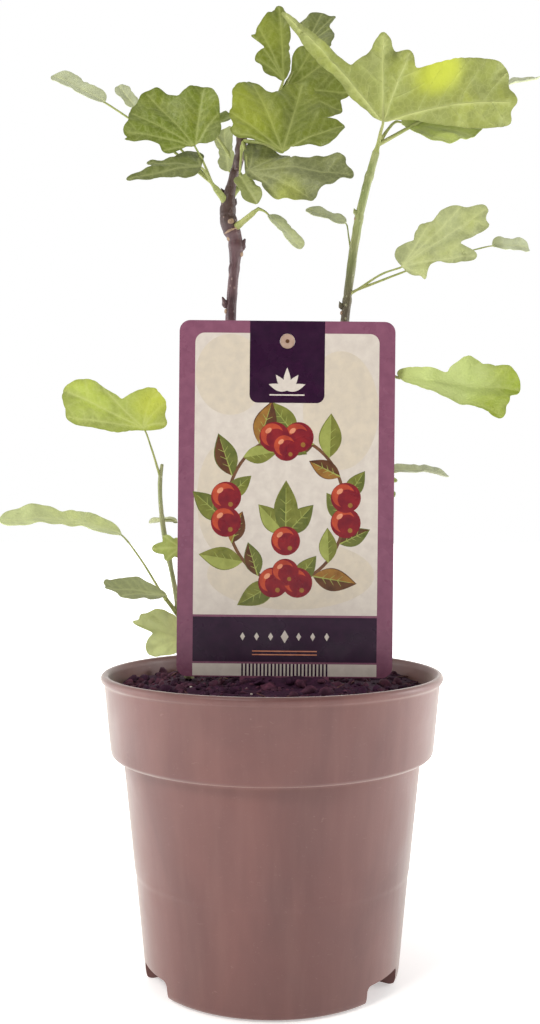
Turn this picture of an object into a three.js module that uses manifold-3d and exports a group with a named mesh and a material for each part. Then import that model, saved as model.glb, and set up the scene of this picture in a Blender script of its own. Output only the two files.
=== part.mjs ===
// A young fig tree in a plastic nursery pot, with the plant label that stands in its compost.
//
// Millimetres, +Z up. The origin is the middle of the pot's flat underside and the label faces -Y.
// Directions are given as [heading, rise] in degrees: a heading of 0 is +X, 90 is +Y, and a rise
// of 90 is straight up.
import * as THREE from "three";
import { mergeVertices } from "three/addons/utils/BufferGeometryUtils.js";
import Module from "manifold-3d";

const wasm = await Module();
wasm.setup();

// ---------------------------------------------------------------- driving dimensions

const GAP = 0.3; // clearance between pieces that touch

const POT = {
  height: 114,
  rimRadius: 65,
  bandRadius: 61.3, // the rim band's outside at its lower edge
  bandBottom: 83,
  neckRadius: 56.5, // the wall just under the band
  footRadius: 48.3,
  wall: 1.6,
  floor: 3,
  facets: 48,
};

// Drainage notches: pockets in the foot of the wall, each closed off from the compost by a boss.
const NOTCH = { headings: [206, 327, 86], width: 22, height: 7, depth: 9, wall: 1.6 };

const SOIL = { top: 111, edgeDrop: 3, flatRadius: 36 };

const LABEL = {
  width: 80,
  height: 132,
  thickness: 1,
  corner: 4,
  hole: 2.8, // radius of the punched hole
  holeBelowTop: 7.5,
  stakeWidth: 33,
  stakeDepth: 32, // below the card, mostly in the compost
  foot: [4.5, -15, 113.8], // middle of the card's lower edge
  lean: 0.56, // degrees, clockwise as seen from the front
};

const LEAF_THICKNESS = 1;
const LONG_BLADE = 36; // a longer blade has a second ring of points, halfway to its edge
const STALK_RADII = [0.95, 0.65];
const LIMB_SIDES = 10;
const STALK_SIDES = 5;
const TWIG_SIDES = 6;

// Stems from the compost up: each row is x, y, height and radius. They are cut flat at the ground.
const GROUND = SOIL.top + GAP;
const STEMS = {
  stem_left: [
    [-14, 8, GROUND - 2, 3.8],
    [-14.6, 8, 122, 2.8],
    [-16.5, 7, 180, 2.4],
    [-16, 6, 250, 2.2],
    [-14.3, 4.4, 280, 2.6],
    [-16.6, 3.6, 287, 3],
    [-17, 3, 294, 2.6],
    [-15.8, 2, 300.3, 2],
  ],
  stem_right: [
    [16, 3, GROUND - 2, 3],
    [17.4, 3.4, 122, 2.3],
    [24, 5, 190, 2],
    [28.3, 4, 249, 1.9],
    [32.8, 3, 284, 1.6],
    [36, 0, 299, 1.5],
    [39.6, -3, 312, 1.4],
  ],
  stem_low: [
    [-31.5, 0, GROUND - 2, 1.9],
    [-36.3, -4, 143, 1.3],
    [-41.5, -4, 170, 1],
    [-42.6, -4, 186, 0.9],
    [-41.8, -4, 193, 0.6],
  ],
};

// Boughs: the stem they leave, the height there, their direction, length and two radii.
const BOUGHS = {
  bough_left: { on: "stem_left", at: 294, aim: [228, 35], length: 8, radii: [1.5, 1.2] },
  bough_crown: { on: "stem_left", at: 300.3, aim: [311, 67], length: 14.5, radii: [1.7, 1.3] },
  bough_back: { on: "stem_left", at: 296, aim: [60, 40], length: 12, radii: [1.4, 1.1] },
  bough_right: { on: "stem_left", at: 284, aim: [319, 24], length: 12, radii: [1.3, 1] },
  bough_low: { on: "stem_low", at: 135, aim: [207, 51], length: 9, radii: [1.1, 0.9] },
};

// Leaf outlines. Each is a run of rounded lobes about a point on the midrib. A lobe is its angle
// from the midrib (degrees, + to the leaf's left), its reach and its half-width, in blade lengths.
const FORMS = {
  wing: {
    centre: 0.12,
    core: 0.1,
    lobes: [
      [98, 0.82, 0.07],
      [90, 0.83, 0.1],
      [78, 0.82, 0.16],
      [-49, 0.81, 0.036],
      [-53, 0.62, 0.045],
      [0, 0.4, 0.065],
      [30, 0.34, 0.071],
      [-13, 0.3, 0.2],
      [-59, 0.28, 0.036],
      [110, 0.19, 0.06],
      [-83, 0.15, 0.045],
      [129, 0.11, 0.075],
    ],
  },
  sail: {
    centre: 0.4,
    core: 0.08,
    lobes: [
      [3, 0.57, 0.087],
      [18, 0.47, 0.16],
      [149, 0.43, 0.13],
      [177, 0.41, 0.096],
      [73, 0.4, 0.041],
      [119, 0.4, 0.087],
      [52, 0.39, 0.15],
    ],
  },
  hand: {
    centre: 0.16,
    core: 0.1,
    lobes: [
      [44, 0.84, 0.094],
      [58, 0.83, 0.21],
      [3, 0.82, 0.27],
      [83, 0.67, 0.18],
      [-60, 0.65, 0.18],
      [103, 0.6, 0.064],
      [-13, 0.27, 0.45],
      [148, 0.18, 0.11],
    ],
  },
  fan: {
    centre: 0.42,
    core: 0.36,
    lobes: [
      [88, 0.6, 0.29],
      [-3, 0.57, 0.13],
      [58, 0.55, 0.45],
      [-137, 0.54, 0.3],
      [-41, 0.51, 0.16],
      [-105, 0.46, 0.45],
      [171, 0.37, 0.19],
    ],
  },
  fork: {
    centre: 0.25,
    core: 0.17,
    lobes: [
      [6, 0.79, 0.1],
      [26, 0.73, 0.23],
      [-101, 0.6, 0.11],
      [64, 0.56, 0.14],
      [-21, 0.41, 0.45],
      [160, 0.17, 0.29],
    ],
  },
  flag: {
    centre: 0.32,
    core: 0.12,
    lobes: [
      [0, 0.69, 0.12],
      [15, 0.6, 0.084],
      [133, 0.59, 0.094],
      [-15, 0.56, 0.098],
      [-45, 0.48, 0.2],
      [142, 0.48, 0.15],
      [171, 0.36, 0.17],
      [-85, 0.32, 0.17],
      [102, 0.24, 0.089],
    ],
  },
  broad: {
    centre: 0.26,
    core: 0.18,
    lobes: [
      [69, 0.89, 0.13],
      [78, 0.88, 0.056],
      [19, 0.87, 0.25],
      [48, 0.86, 0.32],
      [6, 0.74, 0.072],
      [-45, 0.74, 0.31],
      [108, 0.49, 0.14],
      [-83, 0.48, 0.34],
      [-147, 0.2, 0.18],
    ],
  },
  dart: {
    centre: 0.27,
    core: 0.15,
    lobes: [
      [7, 0.66, 0.073],
      [-147, 0.45, 0.11],
      [-22, 0.36, 0.081],
      [-155, 0.31, 0.15],
      [31, 0.19, 0.03],
      [-15, 0.18, 0.14],
      [96, 0.18, 0.19],
    ],
  },
  apron: {
    centre: 0.56,
    core: 0.19,
    lobes: [
      [-178, 0.5, 0.17],
      [11, 0.48, 0.18],
      [-140, 0.4, 0.18],
      [-91, 0.39, 0.17],
      [-25, 0.35, 0.19],
    ],
  },
  oak: {
    centre: 0.3,
    core: 0.16,
    lobes: [
      [4, 0.72, 0.13],
      [-10, 0.65, 0.073],
      [-41, 0.54, 0.1],
      [22, 0.53, 0.14],
      [157, 0.32, 0.11],
      [-119, 0.3, 0.04],
      [-165, 0.29, 0.17],
      [56, 0.28, 0.13],
    ],
  },
  palm: {
    centre: 0.22,
    core: 0.2,
    lobes: [
      [0, 0.78, 0.2],
      [50, 0.56, 0.16],
      [-50, 0.56, 0.16],
      [112, 0.36, 0.14],
      [-112, 0.36, 0.14],
      [152, 0.28, 0.1],
      [-152, 0.28, 0.1],
    ],
  },
  violin: {
    centre: 0.39,
    core: 0.18,
    lobes: [
      [-10, 0.66, 0.26],
      [-147, 0.66, 0.19],
      [-168, 0.65, 0.11],
      [-128, 0.61, 0.11],
      [22, 0.54, 0.099],
      [-12, 0.49, 0.071],
      [-53, 0.29, 0.15],
      [106, 0.18, 0.31],
    ],
  },
  fiddle: {
    centre: 0.56,
    core: 0.16,
    lobes: [
      [176, 0.56, 0.069],
      [-38, 0.49, 0.068],
      [-176, 0.45, 0.053],
      [-2, 0.44, 0.18],
      [-33, 0.31, 0.13],
      [81, 0.19, 0.11],
      [-102, 0.18, 0.4],
      [81, 0.15, 0.15],
      [107, 0.06, 0.03],
    ],
  },
  tongue: {
    centre: 0.39,
    core: 0.16,
    lobes: [
      [11, 0.6, 0.079],
      [-2, 0.59, 0.1],
      [31, 0.47, 0.15],
      [-178, 0.37, 0.072],
      [114, 0.22, 0.29],
      [-94, 0.16, 0.25],
    ],
  },
  mitten: {
    centre: 0.24,
    core: 0.18,
    lobes: [
      [-1, 0.76, 0.064],
      [-13, 0.68, 0.13],
      [59, 0.59, 0.22],
      [-33, 0.58, 0.23],
      [104, 0.42, 0.21],
      [-73, 0.38, 0.18],
    ],
  },
  oval: {
    centre: 0.45,
    core: 0.2,
    lobes: [
      [0, 0.55, 0.24],
      [180, 0.45, 0.22],
    ],
  },
  strap: {
    centre: 0.45,
    core: 0.13,
    lobes: [
      [0, 0.55, 0.17],
      [180, 0.45, 0.15],
    ],
  },
};
const LOBE_BLEND = 7; // higher keeps the notches between lobes sharper
const EDGE_SAMPLES = 720;

// One leaf: its form, its stalk and blade as [heading, rise, length], where its upper side looks,
// how far its halves fold up from the midrib and how far its tip bends down, in degrees.
const leaf = (form, stalk, blade, faces, fold, bend) => ({ form, stalk, blade, faces, fold, bend });

// Masses of foliage: the bough whose tip they grow on, or the stem and the height on it.
const MASSES = {
  spray_left: {
    on: "bough_left",
    leaves: [
      leaf("broad", [240, 44, 15], [160, 62, 26], [275, 10], 8, 8),
      leaf("dart", [247, 21, 10], [208, -10, 33], [262, 25], -6, 8),
      leaf("strap", [151, 38, 64], [163, 34, 28], [270, 42], 10, 12),
      leaf("oval", [148, 44, 51], [157, 52, 13], [250, 45], 8, 10),
    ],
  },
  crown_front: {
    on: "bough_crown",
    leaves: [
      leaf("hand", [318, -22, 22], [54, 62, 34], [270, 15], 8, 6),
      leaf("flag", [283, -51, 19], [344, -2, 39], [275, 30], -6, 10),
      leaf("oval", [264, -66, 17], [302, -44, 16], [250, 45], 10, 15),
    ],
  },
  crown_back: {
    on: "bough_back",
    leaves: [
      leaf("sail", [25, 68, 46], [97, 85, 33], [280, 5], 8, 8),
      leaf("fan", [35, 64, 45], [9, 3, 27], [265, 8], 8, 8),
      leaf("fork", [32, 64, 66], [19, 47, 20], [250, 20], 8, 10),
      leaf("palm", [55, 55, 28], [65, 39, 42], [270, 75], 8, 20),
      leaf("palm", [139, 53, 34], [122, 29, 39], [280, 70], 8, 25),
      leaf("strap", [159, 36, 8], [106, 62, 25], [240, 20], 8, 10),
    ],
  },
  spray_hang: {
    on: "bough_right",
    leaves: [leaf("strap", [326, -31, 6], [320, -42, 21], [292, 40], 10, 8)],
  },
  crown_right: {
    on: "stem_right",
    leaves: [
      leaf("wing", [288, 56, 8], [265, 77, 61], [92, 15], 6, 8),
      leaf("apron", [41, 48, 15], [6, 0, 34], [272, 35], 6, 10),
      leaf("strap", [21, 29, 54], [19, 24, 26], [270, 66], 8, 10),
    ],
  },
  leaf_upper: {
    on: "stem_right",
    at: 272,
    leaves: [leaf("strap", [102, 63, 19], [162, 25, 18], [262, 42], 8, 8)],
  },
  spray_right: {
    on: "stem_right",
    at: 259,
    aim: [338, 25],
    leaves: [
      leaf("oak", [338, 23, 19], [336, 28, 37], [280, 20], 8, 8),
      leaf("oval", [348, 16, 53], [17, 3, 16], [270, 35], 10, 8),
    ],
  },
  leaf_right: {
    on: "stem_right",
    at: 238,
    leaves: [leaf("fiddle", [324, -27, 27], [335, -8, 47], [270, 28], 8, 0)],
  },
  leaf_small: {
    on: "stem_right",
    at: 203,
    leaves: [leaf("strap", [5, -29, 25], [20, 7, 26], [270, 62], 10, 24)],
  },
  top_low: {
    on: "stem_low",
    at: 188,
    leaves: [leaf("violin", [213, 69, 20], [196, 19, 31], [280, 10], 8, 5)],
  },
  side_low: {
    on: "bough_low",
    leaves: [
      leaf("strap", [185, 56, 27], [205, 21, 46], [280, 64], 6, 34),
      leaf("tongue", [300, -9, 5], [216, 16, 27], [268, 50], 8, 12),
    ],
  },
  leaf_low_mid: {
    on: "stem_low",
    at: 172,
    leaves: [leaf("oval", [49, -5, 8], [184, 7, 11], [290, 68], 8, 20)],
  },
  leaf_low_side: {
    on: "stem_low",
    at: 157,
    leaves: [leaf("palm", [315, 35, 8], [202, -1, 11], [280, 10], 8, 10)],
  },
  leaf_low_foot: {
    on: "stem_low",
    at: 127,
    leaves: [leaf("mitten", [267, 5, 7], [193, 20, 19], [270, 20], 8, 8)],
  },
};

// Side shoots at the back: a twig with leaves on alternate sides, placed by a seeded rule. A leaf
// that would leave the shoot's space, given by its lowest and highest corners, is skipped. The
// spaces begin behind the stems.
const BACK_SHOOTS = {
  back_left: {
    on: "stem_left",
    at: 142,
    aim: [82, 36],
    length: 26,
    seed: 8,
    space: [
      [-39, 11, 118],
      [14, 92, 252],
    ],
  },
  back_mid: {
    on: "stem_left",
    at: 222,
    aim: [66, 16],
    length: 24,
    seed: 25,
    space: [
      [-38, 11, 118],
      [48, 92, 254],
    ],
  },
  back_right: {
    on: "stem_right",
    at: 178,
    aim: [80, 28],
    length: 26,
    seed: 10,
    space: [
      [-4, 11, 118],
      [51, 92, 252],
    ],
  },
};
const SHOOT = {
  radii: [1.3, 0.8],
  leaves: 4,
  tries: 24,
  stalk: [8, 14],
  blade: [27, 35],
  turn: [15, 55],
  rise: [-10, 25],
  droop: 8, // the blade's rise is this much less than its stalk's
  swing: 10, // and its heading this much further out
  fold: 8,
  bend: 18,
  faces: 80,
};

// Where a blade's tip, sides and lower corners lie, to tell whether it keeps to its space.
const BLADE_REACH = [
  [1, 0],
  [0.55, 0.45],
  [0.55, -0.45],
  [0.1, 0.35],
  [0.1, -0.35],
];

const COLOURS = {
  pot: { color: 0x85605a, roughness: 0.42 },
  soil: { color: 0x33221e, roughness: 0.95 },
  plant_label: { color: 0x83576c, roughness: 0.3 },
  stem_left: { color: 0x725457, roughness: 0.7 },
  stem: { color: 0x7c8160, roughness: 0.6 },
  foliage: { color: 0x8f9d4c, roughness: 0.55 },
};

// ---------------------------------------------------------------- solids

// A manifold-3d solid from a closed geometry, turned right side out.
function toSolid(geometry) {
  geometry.deleteAttribute("normal");
  geometry.deleteAttribute("uv");
  const merged = mergeVertices(geometry, 1e-4);
  const solid = new wasm.Manifold(
    new wasm.Mesh({
      numProp: 3,
      vertProperties: new Float32Array(merged.attributes.position.array),
      triVerts: new Uint32Array(merged.index.array),
    }),
  );
  if (solid.volume() > 0) return solid;
  merged.index.array.reverse();
  return toSolid(merged);
}

function toGeometry(solid) {
  const mesh = solid.getMesh();
  const geometry = new THREE.BufferGeometry();
  geometry.setAttribute("position", new THREE.BufferAttribute(mesh.vertProperties, 3));
  geometry.setIndex(new THREE.BufferAttribute(mesh.triVerts, 1));
  geometry.computeVertexNormals();
  return geometry;
}

const joined = (solids) => solids.reduce((sum, solid) => sum.add(solid));

function largestPiece(solid) {
  return solid.decompose().reduce((best, piece) => (piece.volume() > best.volume() ? piece : best));
}

// Faces between rings of points, closed at each end by a fan about that end's middle.
function ringsToGeometry(rings, firstMiddle, lastMiddle) {
  const count = rings[0].length;
  const points = [...rings.flat(), firstMiddle, lastMiddle];
  const index = [];
  for (let j = 0; j + 1 < rings.length; j++) {
    for (let i = 0; i < count; i++) {
      const a = j * count + i;
      const b = j * count + ((i + 1) % count);
      index.push(a, b, b + count, a, b + count, a + count);
    }
  }
  const middle = rings.length * count;
  for (let i = 0; i < count; i++) {
    const next = (i + 1) % count;
    index.push(middle, next, i, middle + 1, middle - count + i, middle - count + next);
  }
  const geometry = new THREE.BufferGeometry().setFromPoints(points);
  geometry.setIndex(index);
  return geometry;
}

// A tapering round limb along a smooth curve. grow widens it and lengthens both its ends.
function sweep(path, radii, sides, steps, grow = 0) {
  const curve = new THREE.CatmullRomCurve3(path);
  const frames = curve.computeFrenetFrames(steps);
  const centres = [];
  const rings = [];
  for (let j = 0; j <= steps; j++) {
    const end = j === 0 ? -grow : j === steps ? grow : 0;
    const centre = curve.getPointAt(j / steps).addScaledVector(frames.tangents[j], end);
    centres.push(centre);
    const place = curve.getUtoTmapping(j / steps) * (radii.length - 1);
    const low = Math.min(Math.floor(place), radii.length - 2);
    const radius = THREE.MathUtils.lerp(radii[low], radii[low + 1], place - low) + grow;
    const ring = [];
    for (let i = 0; i < sides; i++) {
      const angle = (i * 2 * Math.PI) / sides;
      ring.push(
        centre
          .clone()
          .addScaledVector(frames.normals[j], radius * Math.cos(angle))
          .addScaledVector(frames.binormals[j], radius * Math.sin(angle)),
      );
    }
    rings.push(ring);
  }
  return toSolid(ringsToGeometry(rings, centres[0], centres[steps]));
}

function direction([heading, rise]) {
  const turn = THREE.MathUtils.degToRad(heading);
  const lift = THREE.MathUtils.degToRad(rise);
  const level = Math.cos(lift);
  return new THREE.Vector3(Math.cos(turn) * level, Math.sin(turn) * level, Math.sin(lift));
}

const along = (start, aim, length) => start.clone().addScaledVector(direction(aim), length);

// ---------------------------------------------------------------- pot, compost and label

function lathe(profile) {
  const points = profile.map(([radius, height]) => new THREE.Vector2(radius, height));
  const geometry = new THREE.LatheGeometry(points, POT.facets);
  geometry.rotateX(Math.PI / 2); // LatheGeometry turns about Y
  return toSolid(geometry);
}

// The inside of the pot as [radius, height], from its floor up to the lip.
function potInside() {
  const { height, rimRadius, bandRadius, bandBottom, neckRadius, footRadius, wall, floor } = POT;
  return [
    [footRadius - 4.6, floor],
    [footRadius - 4.2, NOTCH.height + 2],
    [footRadius - wall + 0.6, NOTCH.height + 6],
    [neckRadius - wall, bandBottom - 1],
    [bandRadius - wall - 0.4, bandBottom + wall + 1.6],
    [rimRadius - 2 * wall, height - 2],
  ];
}

function pot() {
  const { height, rimRadius, bandRadius, bandBottom, neckRadius, footRadius } = POT;
  const solid = lathe([
    [0, 0],
    [footRadius - 2.2, 0],
    [footRadius - 0.5, 0.8],
    [footRadius, 2.4],
    [neckRadius, bandBottom - 1],
    [neckRadius + 1.1, bandBottom],
    [bandRadius - 1.4, bandBottom + 0.4],
    [bandRadius - 0.3, bandBottom + 1.4],
    [bandRadius + 0.1, bandBottom + 3.4],
    [rimRadius - 1.2, height - 3.2],
    [rimRadius, height - 2.2],
    [rimRadius, height - 0.8],
    [rimRadius - 0.7, height],
    [rimRadius - 2.2, height],
    ...potInside().reverse(),
    [0, POT.floor],
  ]);
  return solid.add(joined(notchBosses(0))).subtract(joined(notchCutters()));
}

// A box at each notch: from the inner radius to the outer one, and from the low level to the high.
function notchBlocks(inner, outer, width, low, high) {
  return NOTCH.headings.map((heading) => {
    const box = new THREE.BoxGeometry(outer - inner, width, high - low);
    box.translate((inner + outer) / 2, 0, (low + high) / 2);
    box.rotateZ(THREE.MathUtils.degToRad(heading));
    return toSolid(box);
  });
}

const notchCutters = () =>
  notchBlocks(POT.footRadius - NOTCH.depth, POT.footRadius + 6, NOTCH.width, -2, NOTCH.height);

// The walls of the pockets, which stand inside the pot, larger by grow.
function notchBosses(grow) {
  const inner = POT.footRadius - NOTCH.depth - NOTCH.wall - grow;
  const width = NOTCH.width + 2 * (NOTCH.wall + grow);
  return notchBlocks(inner, POT.footRadius - 4, width, 1, NOTCH.height + NOTCH.wall + grow);
}

function soil() {
  const inside = potInside().map(([radius, height]) => [radius - GAP, height]);
  const floor = POT.floor + GAP;
  const edge = SOIL.top - SOIL.edgeDrop;
  const [wallLow, wallTop] = inside.slice(-2);
  const share = (edge - wallLow[1]) / (wallTop[1] - wallLow[1]);
  const edgeRadius = THREE.MathUtils.lerp(wallLow[0], wallTop[0], share);
  const solid = lathe([
    [0, floor],
    [inside[0][0], floor],
    ...inside.slice(1, -1),
    [edgeRadius, edge],
    [edgeRadius - 9, edge + 0.6],
    [SOIL.flatRadius, SOIL.top],
    [0, SOIL.top],
  ]);
  const slot = new THREE.BoxGeometry(
    LABEL.stakeWidth + 2 * GAP,
    LABEL.thickness + 2 * GAP,
    2 * LABEL.stakeDepth,
  );
  placeLabel(slot);
  return solid.subtract(toSolid(slot)).subtract(joined(notchBosses(GAP)));
}

// Moves a geometry made about the middle of the card's lower edge to where the label stands.
function placeLabel(geometry) {
  geometry.rotateY(THREE.MathUtils.degToRad(LABEL.lean));
  geometry.translate(...LABEL.foot);
}

function plantLabel() {
  const { width, height, corner, thickness, stakeWidth, stakeDepth } = LABEL;
  const half = width / 2;
  const stake = stakeWidth / 2;
  const tip = stakeDepth - 2;
  const card = new THREE.Shape();
  card.moveTo(-stake, 0);
  card.lineTo(-stake, -tip + 10);
  card.lineTo(0, -tip);
  card.lineTo(stake, -tip + 10);
  card.lineTo(stake, 0);
  card.lineTo(half - corner, 0);
  card.absarc(half - corner, corner, corner, -Math.PI / 2, 0);
  card.absarc(half - corner, height - corner, corner, 0, Math.PI / 2);
  card.absarc(-half + corner, height - corner, corner, Math.PI / 2, Math.PI);
  card.absarc(-half + corner, corner, corner, Math.PI, 1.5 * Math.PI);
  card.closePath();
  const hole = new THREE.Path();
  hole.absarc(0, height - LABEL.holeBelowTop, LABEL.hole, 0, 2 * Math.PI);
  card.holes.push(hole);
  const geometry = new THREE.ExtrudeGeometry(card, {
    depth: thickness,
    bevelEnabled: false,
    curveSegments: 5,
  });
  geometry.translate(0, 0, -thickness / 2);
  geometry.rotateX(Math.PI / 2);
  placeLabel(geometry);
  return toSolid(geometry);
}

// ---------------------------------------------------------------- stems and boughs

const limbPaths = {};

function stemParts(name) {
  const rows = STEMS[name];
  limbPaths[name] = rows.map(([x, y, z]) => new THREE.Vector3(x, y, z));
  const radii = rows.map((row) => row[3]);
  return (grow) => sweep(limbPaths[name], radii, LIMB_SIDES, 18, grow).trimByPlane([0, 0, 1], GROUND);
}

// The point on a stem's axis at a height.
function pointOn(stem, height) {
  const curve = new THREE.CatmullRomCurve3(limbPaths[stem]);
  let low = 0;
  let high = 1;
  for (let step = 0; step < 30; step++) {
    const middle = (low + high) / 2;
    if (curve.getPoint(middle).z < height) low = middle;
    else high = middle;
  }
  return curve.getPoint(low);
}

function boughParts(name) {
  const { on, at, aim, length, radii } = BOUGHS[name];
  const start = pointOn(on, at);
  limbPaths[name] = [start, along(start, aim, length / 2), along(start, aim, length)];
  return (grow) => sweep(limbPaths[name], radii, LIMB_SIDES, 3, grow);
}

// ---------------------------------------------------------------- leaves

// How far a leaf's edge lies from its centre, at an angle from the midrib.
function edgeRadius(form, angle) {
  let total = form.core ** LOBE_BLEND;
  for (const [turn, reach, halfWidth] of form.lobes) {
    const off = angle - THREE.MathUtils.degToRad(turn);
    const cos = Math.cos(off);
    if (cos <= 0) continue;
    const slim = (reach / 2 / halfWidth) ** 2;
    total += ((reach * cos) / (cos * cos + slim * Math.sin(off) ** 2)) ** LOBE_BLEND;
  }
  return total ** (1 / LOBE_BLEND);
}

// Points evenly spaced along a leaf's edge, as [along the midrib, to the left], in blade lengths.
function leafEdge(form, count) {
  const points = [];
  for (let i = 0; i <= EDGE_SAMPLES; i++) {
    const angle = -Math.PI + (2 * Math.PI * i) / EDGE_SAMPLES;
    const radius = edgeRadius(form, angle);
    points.push([form.centre + radius * Math.cos(angle), radius * Math.sin(angle)]);
  }
  const run = [0];
  for (let i = 0; i < EDGE_SAMPLES; i++) {
    const [a, b] = [points[i], points[i + 1]];
    run.push(run[i] + Math.hypot(b[0] - a[0], b[1] - a[1]));
  }
  const edge = [];
  let i = 0;
  for (let k = 0; k < count; k++) {
    const want = (run[EDGE_SAMPLES] * k) / count;
    while (run[i + 1] < want) i++;
    const share = (want - run[i]) / (run[i + 1] - run[i]);
    edge.push([0, 1].map((c) => THREE.MathUtils.lerp(points[i][c], points[i + 1][c], share)));
  }
  return edge;
}

// Axes of a blade: along the midrib, to its left, and out of its upper side.
function bladeAxes({ blade, faces }) {
  const midrib = direction(blade);
  const up = direction(faces);
  up.addScaledVector(midrib, -up.dot(midrib)).normalize();
  return { midrib, left: new THREE.Vector3().crossVectors(up, midrib), up };
}

const CREASE = 0.03; // how wide the fold at the midrib is, in blade lengths

// A point of the folded and bent blade, lift above its middle, all in blade lengths.
function bladePoint({ fold, bend, blade }, axes, base, u, v, lift) {
  const slope = Math.tan(THREE.MathUtils.degToRad(fold));
  const raised = lift + slope * (Math.hypot(v, CREASE) - CREASE);
  const turn = THREE.MathUtils.degToRad(bend);
  const radius = turn ? 1 / turn : 0;
  const x = turn ? (radius + raised) * Math.sin(u * turn) : u;
  const z = turn ? (radius + raised) * Math.cos(u * turn) - radius : raised;
  return base
    .clone()
    .addScaledVector(axes.midrib, blade[2] * x)
    .addScaledVector(axes.left, blade[2] * v)
    .addScaledVector(axes.up, blade[2] * z);
}

function bladeSolid(row, base) {
  const form = FORMS[row.form];
  const axes = bladeAxes(row);
  const count = 6 * Math.round(2 + (row.blade[2] * form.lobes.length) / 90);
  const edge = leafEdge(form, count);
  const half = LEAF_THICKNESS / 2 / row.blade[2];
  const at = (u, v, lift) => bladePoint(row, axes, base, u, v, lift);
  const ring = (share, lift) =>
    edge.map(([u, v]) => at(form.centre + share * (u - form.centre), share * v, lift));
  const shares = row.blade[2] > LONG_BLADE ? [0.5, 1] : [1];
  const upper = shares.map((share) => ring(share, half));
  const lower = shares.map((share) => ring(share, -half)).reverse();
  const middles = [at(form.centre, 0, half), at(form.centre, 0, -half)];
  return toSolid(ringsToGeometry([...upper, ...lower], ...middles));
}

// How far a stalk arches up, at which share of its length, and how far it runs under the midrib.
const STALK = { arch: 0.06, archAt: 0.55, underBlade: 0.12 };

// A leaf's stalk starts on its twig, arches a little and ends sunk in the blade under the midrib.
function stalkSolid(row, start, base) {
  const axes = bladeAxes(row);
  const middle = start.clone().lerp(base, STALK.archAt);
  middle.z += STALK.arch * start.distanceTo(base);
  const inside = base.clone().addScaledVector(axes.midrib, STALK.underBlade * row.blade[2]);
  const under = inside.addScaledVector(axes.up, -0.25 * LEAF_THICKNESS);
  return sweep([start, middle, base, under], STALK_RADII, STALK_SIDES, 4);
}

function leafSolid(row, start) {
  const base = along(start, row.stalk, row.stalk[2]);
  return bladeSolid(row, base).add(stalkSolid(row, start, base));
}

// ---------------------------------------------------------------- masses of foliage

const SPUR = { length: 3, extraOnStem: 1.5, radius: 1.15 };

// A mass grows from a short spur at its bough's tip, or on its stem, towards aim.
function massSolid({ on, at, aim, leaves }) {
  const path = limbPaths[on];
  const tip = path[path.length - 1];
  const start = at ? pointOn(on, at) : tip;
  if (at && !aim) return joined(leaves.map((row) => leafSolid(row, start)));
  const onwards = tip.clone().sub(path[path.length - 2]).normalize();
  const heading = aim ? direction(aim) : onwards;
  const end = start.clone().addScaledVector(heading, SPUR.length + (at ? SPUR.extraOnStem : 0));
  const spur = sweep([start, end], [SPUR.radius, SPUR.radius], TWIG_SIDES, 2);
  return joined([spur, ...leaves.map((row) => leafSolid(row, end))]);
}

// Numbers from 0 to 1 in an order that its seed fixes.
function seededNumbers(seed) {
  let state = seed;
  return () => {
    state = (state * 16807) % 2147483647;
    return state / 2147483647;
  };
}

function insideSpace(point, [low, high]) {
  return ["x", "y", "z"].every((c, i) => point[c] > low[i] && point[c] < high[i]);
}

// The leaves of a back shoot: alternate sides of the twig, the youngest at its tip.
function shootLeaves({ aim, length, seed, space }, start) {
  const random = seededNumbers(seed);
  random();
  const between = ([low, high]) => low + (high - low) * random();
  const rows = [];
  for (let i = 0; i < SHOOT.tries && rows.length < SHOOT.leaves; i++) {
    const share = (rows.length + 1) / SHOOT.leaves;
    const side = rows.length % 2 ? 1 : -1;
    const last = rows.length === SHOOT.leaves - 1;
    const heading = aim[0] + (last ? 0 : side) * between(SHOOT.turn);
    const stalk = [heading, aim[1] + between(SHOOT.rise), between(SHOOT.stalk)];
    const outwards = heading + SHOOT.swing * side;
    const blade = [outwards, between(SHOOT.rise) - SHOOT.droop, between(SHOOT.blade)];
    const row = leaf("palm", stalk, blade, [heading, SHOOT.faces], SHOOT.fold, SHOOT.bend);
    const twig = along(start, aim, share * length);
    const base = along(twig, stalk, stalk[2]);
    const axes = bladeAxes(row);
    const spots = BLADE_REACH.map(([u, v]) => bladePoint(row, axes, base, u, v, 0));
    if (spots.every((spot) => insideSpace(spot, space))) rows.push({ row, twig });
  }
  return rows;
}

function backShootSolid(shoot) {
  const start = pointOn(shoot.on, shoot.at);
  const end = along(start, shoot.aim, shoot.length);
  const twig = sweep([start, end], SHOOT.radii, TWIG_SIDES, 4);
  const leaves = shootLeaves(shoot, start).map(({ row, twig: spot }) => leafSolid(row, spot));
  return joined([twig, ...leaves]);
}

// ---------------------------------------------------------------- the plant in its pot

const group = new THREE.Group();
group.name = "potted_fig_tree";

function addNode(name, solid, look) {
  const material = new THREE.MeshStandardMaterial({ ...look, metalness: 0 });
  const mesh = new THREE.Mesh(toGeometry(solid), material);
  mesh.name = name;
  group.add(mesh);
}

addNode("pot", pot(), COLOURS.pot);
addNode("soil", soil(), COLOURS.soil);
addNode("plant_label", plantLabel(), COLOURS.plant_label);

// Limbs are added in order, and each is cut clear of the ones it grows from.
let limbsGrown = null;
function addLimb(name, build, look) {
  const solid = limbsGrown ? largestPiece(build(0).subtract(limbsGrown)) : build(0);
  addNode(name, solid, look);
  limbsGrown = limbsGrown ? limbsGrown.add(build(GAP)) : build(GAP);
}

for (const name of Object.keys(STEMS)) {
  addLimb(name, stemParts(name), name === "stem_left" ? COLOURS.stem_left : COLOURS.stem);
}
for (const name of Object.keys(BOUGHS)) addLimb(name, boughParts(name), COLOURS.stem);

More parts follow.
